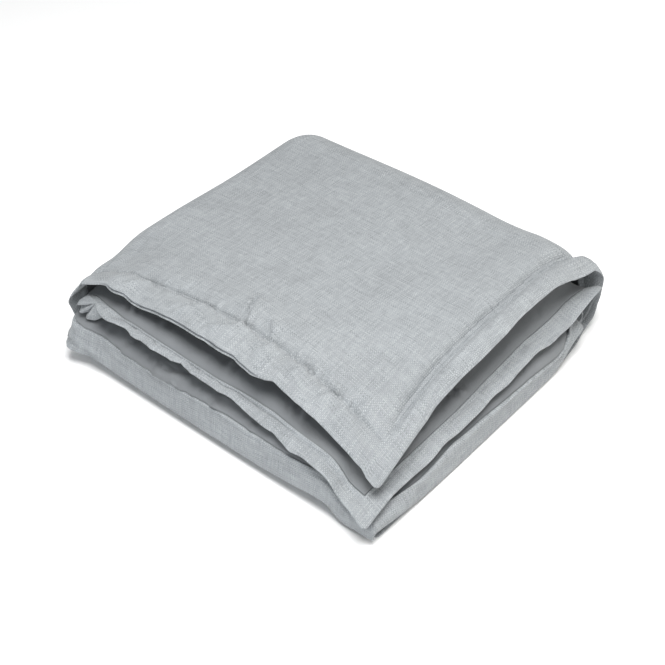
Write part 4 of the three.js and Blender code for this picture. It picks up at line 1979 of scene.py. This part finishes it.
def handled(pile: Pile) -> Rumples:
    """The waves, creases and puckers of this spread.

    Args:
        pile: The folded pile.

    Returns:
        All of them.
    """
    waves = (
        EdgeWave(Edge.LENGTH_START, 0, 508, 2.2, 2.0, 62, 46, 4),
        EdgeWave(Edge.LENGTH_END, 90, 508, 2.8, 1.6, 66, 44, 9),
        EdgeWave(Edge.WIDTH_START, 60, 454, 1.2, 1.0, 120, 60, 21),
        EdgeWave(Edge.WIDTH_START, 1600, 1990, 1.8, 1.0, 90, 44, 33),
    )
    widths = (
        HemWidth(Edge.LENGTH_START, (
            (0, 42), (150, 45), (420, 47), (510, 44), (567, 45), (612, 50), (660, 47), (710, 46), (776, 49),
            (826, 51), (877, 48), (922, 44), (990, 40), (1078, 37),
        )),
        HemWidth(Edge.WIDTH_START, (
            (0, 39), (80, 43), (160, 46), (250, 47), (340, 48), (420, 54), (470, 57), (520, 48), (580, 37),
        )),
        HemWidth(Edge.WIDTH_START, (
            (1470, 20), (1540, 20), (1577, 25), (1695, 23), (1764, 21), (1829, 18), (1927, 19), (2032, 24),
        )),
        HemWidth(Edge.WIDTH_END, (
            (0, 30), (70, 26), (116, 30), (182, 43), (238, 45), (330, 41), (410, 28), (470, 18), (560, 37),
        )),
        HemWidth(Edge.LENGTH_END, (
            (0, 27), (70, 22), (130, 24), (175, 26), (212, 22), (265, 14), (315, 12), (363, 12), (402, 14),
            (434, 15), (470, 22), (500, 30), (570, 37),
        )),
    )
    seams = (
        SeamShape(Edge.WIDTH_START, 30, 580, 80, 9.0, 9.0, 7.0, 4.8),
        SeamShape(Edge.LENGTH_START, 20, 290, 60, 4.0, 2.8, 3.6, 3.6),
        SeamShape(Edge.LENGTH_START, 230, 560, 50, 4.0, 5.2, 2.4, 3.6),
    )
    stitching = (
        Stitching(Edge.LENGTH_START, 60, 260, 20, 3.0, 34, 22, 5),
        Stitching(Edge.LENGTH_START, 260, 500, 26, 2.4, 26, 22, 8),
        Stitching(Edge.WIDTH_START, 60, 450, 34, 1.2, 24, 12, 6),
    )
    face_creases = (
        Crease(((326, 46), (338, 37), (349, 25), (357, 12), (361, 2)), 2.7, 4.4, 6.0),
        Crease(((284, 94), (272, 64), (265, 47)), 3.0, 6.4, 3.2),
        Crease(((264, 48), (266, 38), (277, 30), (288, 22), (299, 15), (302, 2)), 2.7, 5.2, 7.5),
        Crease(((205, 47), (212, 39), (219, 27), (220, 10)), 2.7, 4.6, 6.4),
        Crease(((190, 33), (194, 17), (199, 1)), 2.8, 4.2, 4.4),
        Crease(((148, 44), (155, 58)), 2.8, 5.6, 2.4),
        Crease(((99, 45), (100, 56)), 2.7, 5.0, 2.4),
        Crease(((79, 45), (81, 55)), 2.7, 5.0, 2.4),
        Crease(((99, 45), (108, 43), (115, 31), (120, 10)), 2.8, 4.0, 5.0),
        Crease(((156, 46), (164, 34), (168, 14)), 2.8, 3.4, 4.6),
        Crease(((430, 46), (443, 31), (448, 14)), 2.8, 3.2, 4.0),
        Crease(((240, 68), (225, 52), (222, 45)), 3.2, 4.2, 2.4),
    )
    facing_creases = (
        Crease(((559, 5), (570, 11), (583, 20)), 2.6, 3.6, 4.2),
        Crease(((596, 0), (588, 12), (590, 28)), 3.0, 3.0, 3.2),
    )
    facing_seams = (
        SeamShape(Edge.WIDTH_END, 10, 480, 40, 0, -3.6, 4.5, 0),
        SeamShape(Edge.LENGTH_END, 60, 450, 40, 0, -1.4, 4.0, 0),
        SeamShape(Edge.LENGTH_END, 60, 450, 40, 0, 3.4, 4.6, 0, inset=10.0),
        SeamShape(Edge.LENGTH_START, 570, 1030, 40, 0, -0.8, 4.0, 0),
        SeamShape(Edge.LENGTH_START, 570, 1030, 40, 0, 1.6, 1.8, 0, inset=4.6),
        SeamShape(Edge.WIDTH_START, 1590, 2000, 40, 0, 2.6, 3.2, 0, inset=7.0),
    )
    lining_creases = (
        Crease(((700, 46), (710, 58), (716, 72)), 3.0, 4.4, 2.2),
        Crease(((714, 58), (739, 62), (752, 72)), 3.0, 4.0, 2.0),
        Crease(((738, 50), (760, 56)), 3.0, 3.6, 1.6),
        Crease(((640, 48), (652, 60), (662, 74)), 3.2, 3.6, 1.8),
        Crease(((793, 50), (815, 60), (834, 58)), 3.0, 4.4, 2.2),
        Crease(((860, 50), (872, 62)), 3.0, 3.8, 1.8),
        Crease(((438, 1984), (431, 2008)), 4.2, -4.0, 0.0),
        Crease(((382, 1984), (378, 2006)), 4.6, -2.4, 0.0),
        Crease(((262, 1978), (262, 2004)), 4.4, -4.0, 0.0),
        Crease(((150, 1966), (140, 1996)), 4.4, -4.4, 0.0),
        Crease(((41, 1811), (24, 1797)), 3.6, 4.0, 1.6),
        Crease(((38, 1822), (18, 1814)), 3.6, 4.0, 1.6),
        Crease(((34, 1891), (19, 1892)), 3.6, 3.6, 1.6),
        Crease(((1022, 330), (1038, 336)), 3.6, 3.0, 1.0),
        Crease(((1032, 410), (1052, 418)), 3.6, 3.0, 1.0),
    )
    lining_seams = (
        SeamShape(Edge.LENGTH_START, 540, 1010, 110, 0, 0, 1, 4.0, 26.0, 2.0),
        SeamShape(Edge.LENGTH_END, 110, 470, 60, 0, 0, 1, 4.6, 13.0, 1.5),
        SeamShape(Edge.LENGTH_END, -40, 170, 70, 0, 0, 1, -7.0, 24.0, 1.0),
        SeamShape(Edge.WIDTH_START, 1570, 2000, 60, 0, 0, 1, 2.0, 12.0, 1.5),
    )
    lining_stitching = (
        Stitching(Edge.LENGTH_START, 575, 1000, 24, 3.0, 40, 0, 14),
        Stitching(Edge.LENGTH_END, 60, 440, 38, 1.2, 30, 0, 15),
        Stitching(Edge.WIDTH_START, 1590, 1960, 40, 1.4, 28, 0, 16),
        Stitching(Edge.WIDTH_END, 120, 420, 42, 1.6, 24, 0, 17),
    )
    nudges = (
        Nudge(0, 1536, 70, 70, (8, 0, 11)),
        Nudge(20, 0, 150, 110, (-10, -8.4, 11.7)),
        Nudge(0, 508, 170, 110, (5, 0, 0)),
        Nudge(0, 474, 30, 44, (0, 0, -10)),
        Nudge(0, 2032, 70, 70, (-12, -7, -5)),
        Nudge(46, 486, 60, 54, (0, 0, -8)),
        Nudge(518, 75, 70, 75, (0, -4, -9)),
        Nudge(546, 32, 16, 40, (9, -7, 0)),
    )
    pulls = (
        EdgePull(Edge.LENGTH_START, (
            (425, 0, 0, 0), (440, 0.1, 6.6, 6.1), (449, -0.9, 11.2, 9.6), (455, 0.2, 12.6, 11.8),
            (458, 1.9, 12.6, 13.1), (470, 0.1, 12.2, 11.5), (482, -4, 13.5, 9.7), (494, -7.5, 15.2, 8.8),
            (506, -10.8, 8.6, 0.2), (518, -10.8, -0.5, -8.5), (530, -5.7, -2, -6.1),
            (537, 1.3, -5.4, -4.2), (544, 7.9, -6.9, -0.9), (548, 10.2, -6.4, 1.1), (553, 3.7, 3.6, 5.9),
            (558, -2.7, 8.2, 5.6), (562, -8.3, 10.5, 3.8), (567, -9, 10, 2.8), (579, -5.9, 10.4, 5.1),
            (597, -1.3, 6.5, 4.7), (615, 0, 1.7, 1.4), (640, 0, 0, 0),
        ), 58),
        EdgePull(Edge.WIDTH_START, (
            (380, 0, 0, 0), (405, 1, 1.2, 1.8), (419, 0.3, 0.1, 0.4), (433, -0.9, -1.1, -1.6),
            (447, -1, -1.7, -2.1), (458, -1.7, -2.3, -3.2), (466, -2.7, -2, -4.1), (474, -2.4, -0.5, -2.9),
            (482, 0.2, 0.8, 0.7), (488, 0.9, -2.1, -0.2), (494, 0.6, -4.5, -1.9), (500, -1, -3.5, -3.1),
            (506, -3.7, -1.1, -4.6), (512, -2.7, 3, -1.3), (518, -3.2, 5.4, -0.5), (524, -3, 5.9, -0.1),
            (530, -2.6, 6.3, 0.6), (538, -2.2, 8.7, 2.2), (546, -1.2, 9.1, 3.5), (554, -0.6, 6.9, 3),
            (562, -0.2, 4.9, 2.3), (610, 0, 0, 0),
        ), 62),
        EdgePull(Edge.WIDTH_START, (
            (1430, 0, 0, 0), (1470, -3.2, 2.5, -1.8), (1479, -4.2, 4.3, -2), (1488, -4.3, 5.5, -1.5),
            (1497, -5, 5.8, -2), (1506, -5.2, 5.3, -2.6), (1515, -5.8, 5.7, -3), (1524, -6.1, 5.2, -3.7),
            (1533, -1.5, 2.4, -0.3), (1542, 3.1, -0.9, 2.8), (1551, -2.5, -1.1, -3.4),
            (1560, -6.5, -0.9, -7.5), (1569, -8.4, -1.8, -10), (1578, -8.1, -2.9, -10.1),
            (1596, -7, -3.6, -9.2), (1614, -6, -3.8, -8.2), (1632, -5.9, -2.4, -7.3), (1680, 0, 0, 0),
        ), 70),
    )
    reaches = (
        EdgeReach(Edge.WIDTH_START, (
            (100, 0), (122, -2), (140, -1), (162, 1), (185, 2), (207, 2.8), (230, 3.4), (253, 4.2),
            (275, 4.4), (291, 3.2), (312, 1), (331, -0.8), (368, -2.2), (400, 0),
        )),
        EdgeReach(Edge.LENGTH_START, (
            (30, 0), (44, -6.8), (68, -3.6), (108, -5.4), (136, 1.6), (172, -2.6), (175, -1.2), (180, 4.2),
            (186, 7), (192, 9.6), (203, 11), (234, 5), (250, 9), (262, 9.8), (276, 7.8), (287, 4.4),
            (315, 5.8), (351, 1.2), (385, 2.2), (435, -5.2), (446, 0),
        )),
        EdgeReach(Edge.LENGTH_END, (
            (87, 0), (127, -3.4), (136, -4.6), (150, -2.8), (161, -6), (180, -4.2), (203, -6.4), (222, -3),
            (242, -7), (253, -4.6), (276, -3.6), (298, 1.6), (320, -8.2), (334, -0.2), (357, 1),
            (368, 3.2), (390, -5), (407, 0.2), (424, -4.2), (438, -3.2), (452, 0),
        )),
        EdgeReach(Edge.LENGTH_END, (
            (80, 0), (120, -2), (150, -4), (170, -5), (190, -3), (205, -5), (222, -3), (240, -5), (255, -1),
            (268, -5), (285, -6), (300, 0), (316, -5), (325, -2), (338, -5), (350, -6), (365, 0), (380, -6),
            (390, -4), (405, -6), (418, 0), (434, -3), (448, 0),
        ), 13, 20),
    )
    lips = (HemLip(Edge.LENGTH_START, 185, 470, 20),)
    gathers = (
        Gather(
            Edge.LENGTH_END, (446, 486, 572, 625),
            (
                (480, 20, 489, 115), (490, 20, 505, 115), (500, 17, 512, 111), (508, 12, 518, 105),
                (517, 8, 522, 95), (522, 7.5, 519, 91), (528, 7, 517, 86), (535, 8, 511, 81),
                (541, 8, 505, 79), (555, 10, 489, 84), (566, 14, 479, 92), (590, 24, 472, 92),
            ),
            18, 50, (12, 487, 114), (522, 535),
        ),
    )
    return Rumples(
        pile, waves, widths, seams, stitching, face_creases, facing_creases, facing_seams,
        lining_creases, lining_seams, lining_stitching, nudges, pulls, reaches, gathers, lips,
    )


def main() -> None:
    """Builds the pieces in order and reports each."""
    logging.basicConfig(level=logging.INFO, format="%(name)s: %(message)s")
    pile = Pile()
    rumples = handled(pile)
    weave = PlainWeave().group()
    for panel in (FacePanel(pile, rumples), LiningPanel(pile, rumples)):
        piece = panel.build()
        panel.dress(piece, weave)
        piece.data.calc_loop_triangles()
        LOG.info("%s has %d triangles", piece.name, len(piece.data.loop_triangles))
    Studio().build()
    LOG.info("studio is set")


if __name__ == "__main__":
    main()
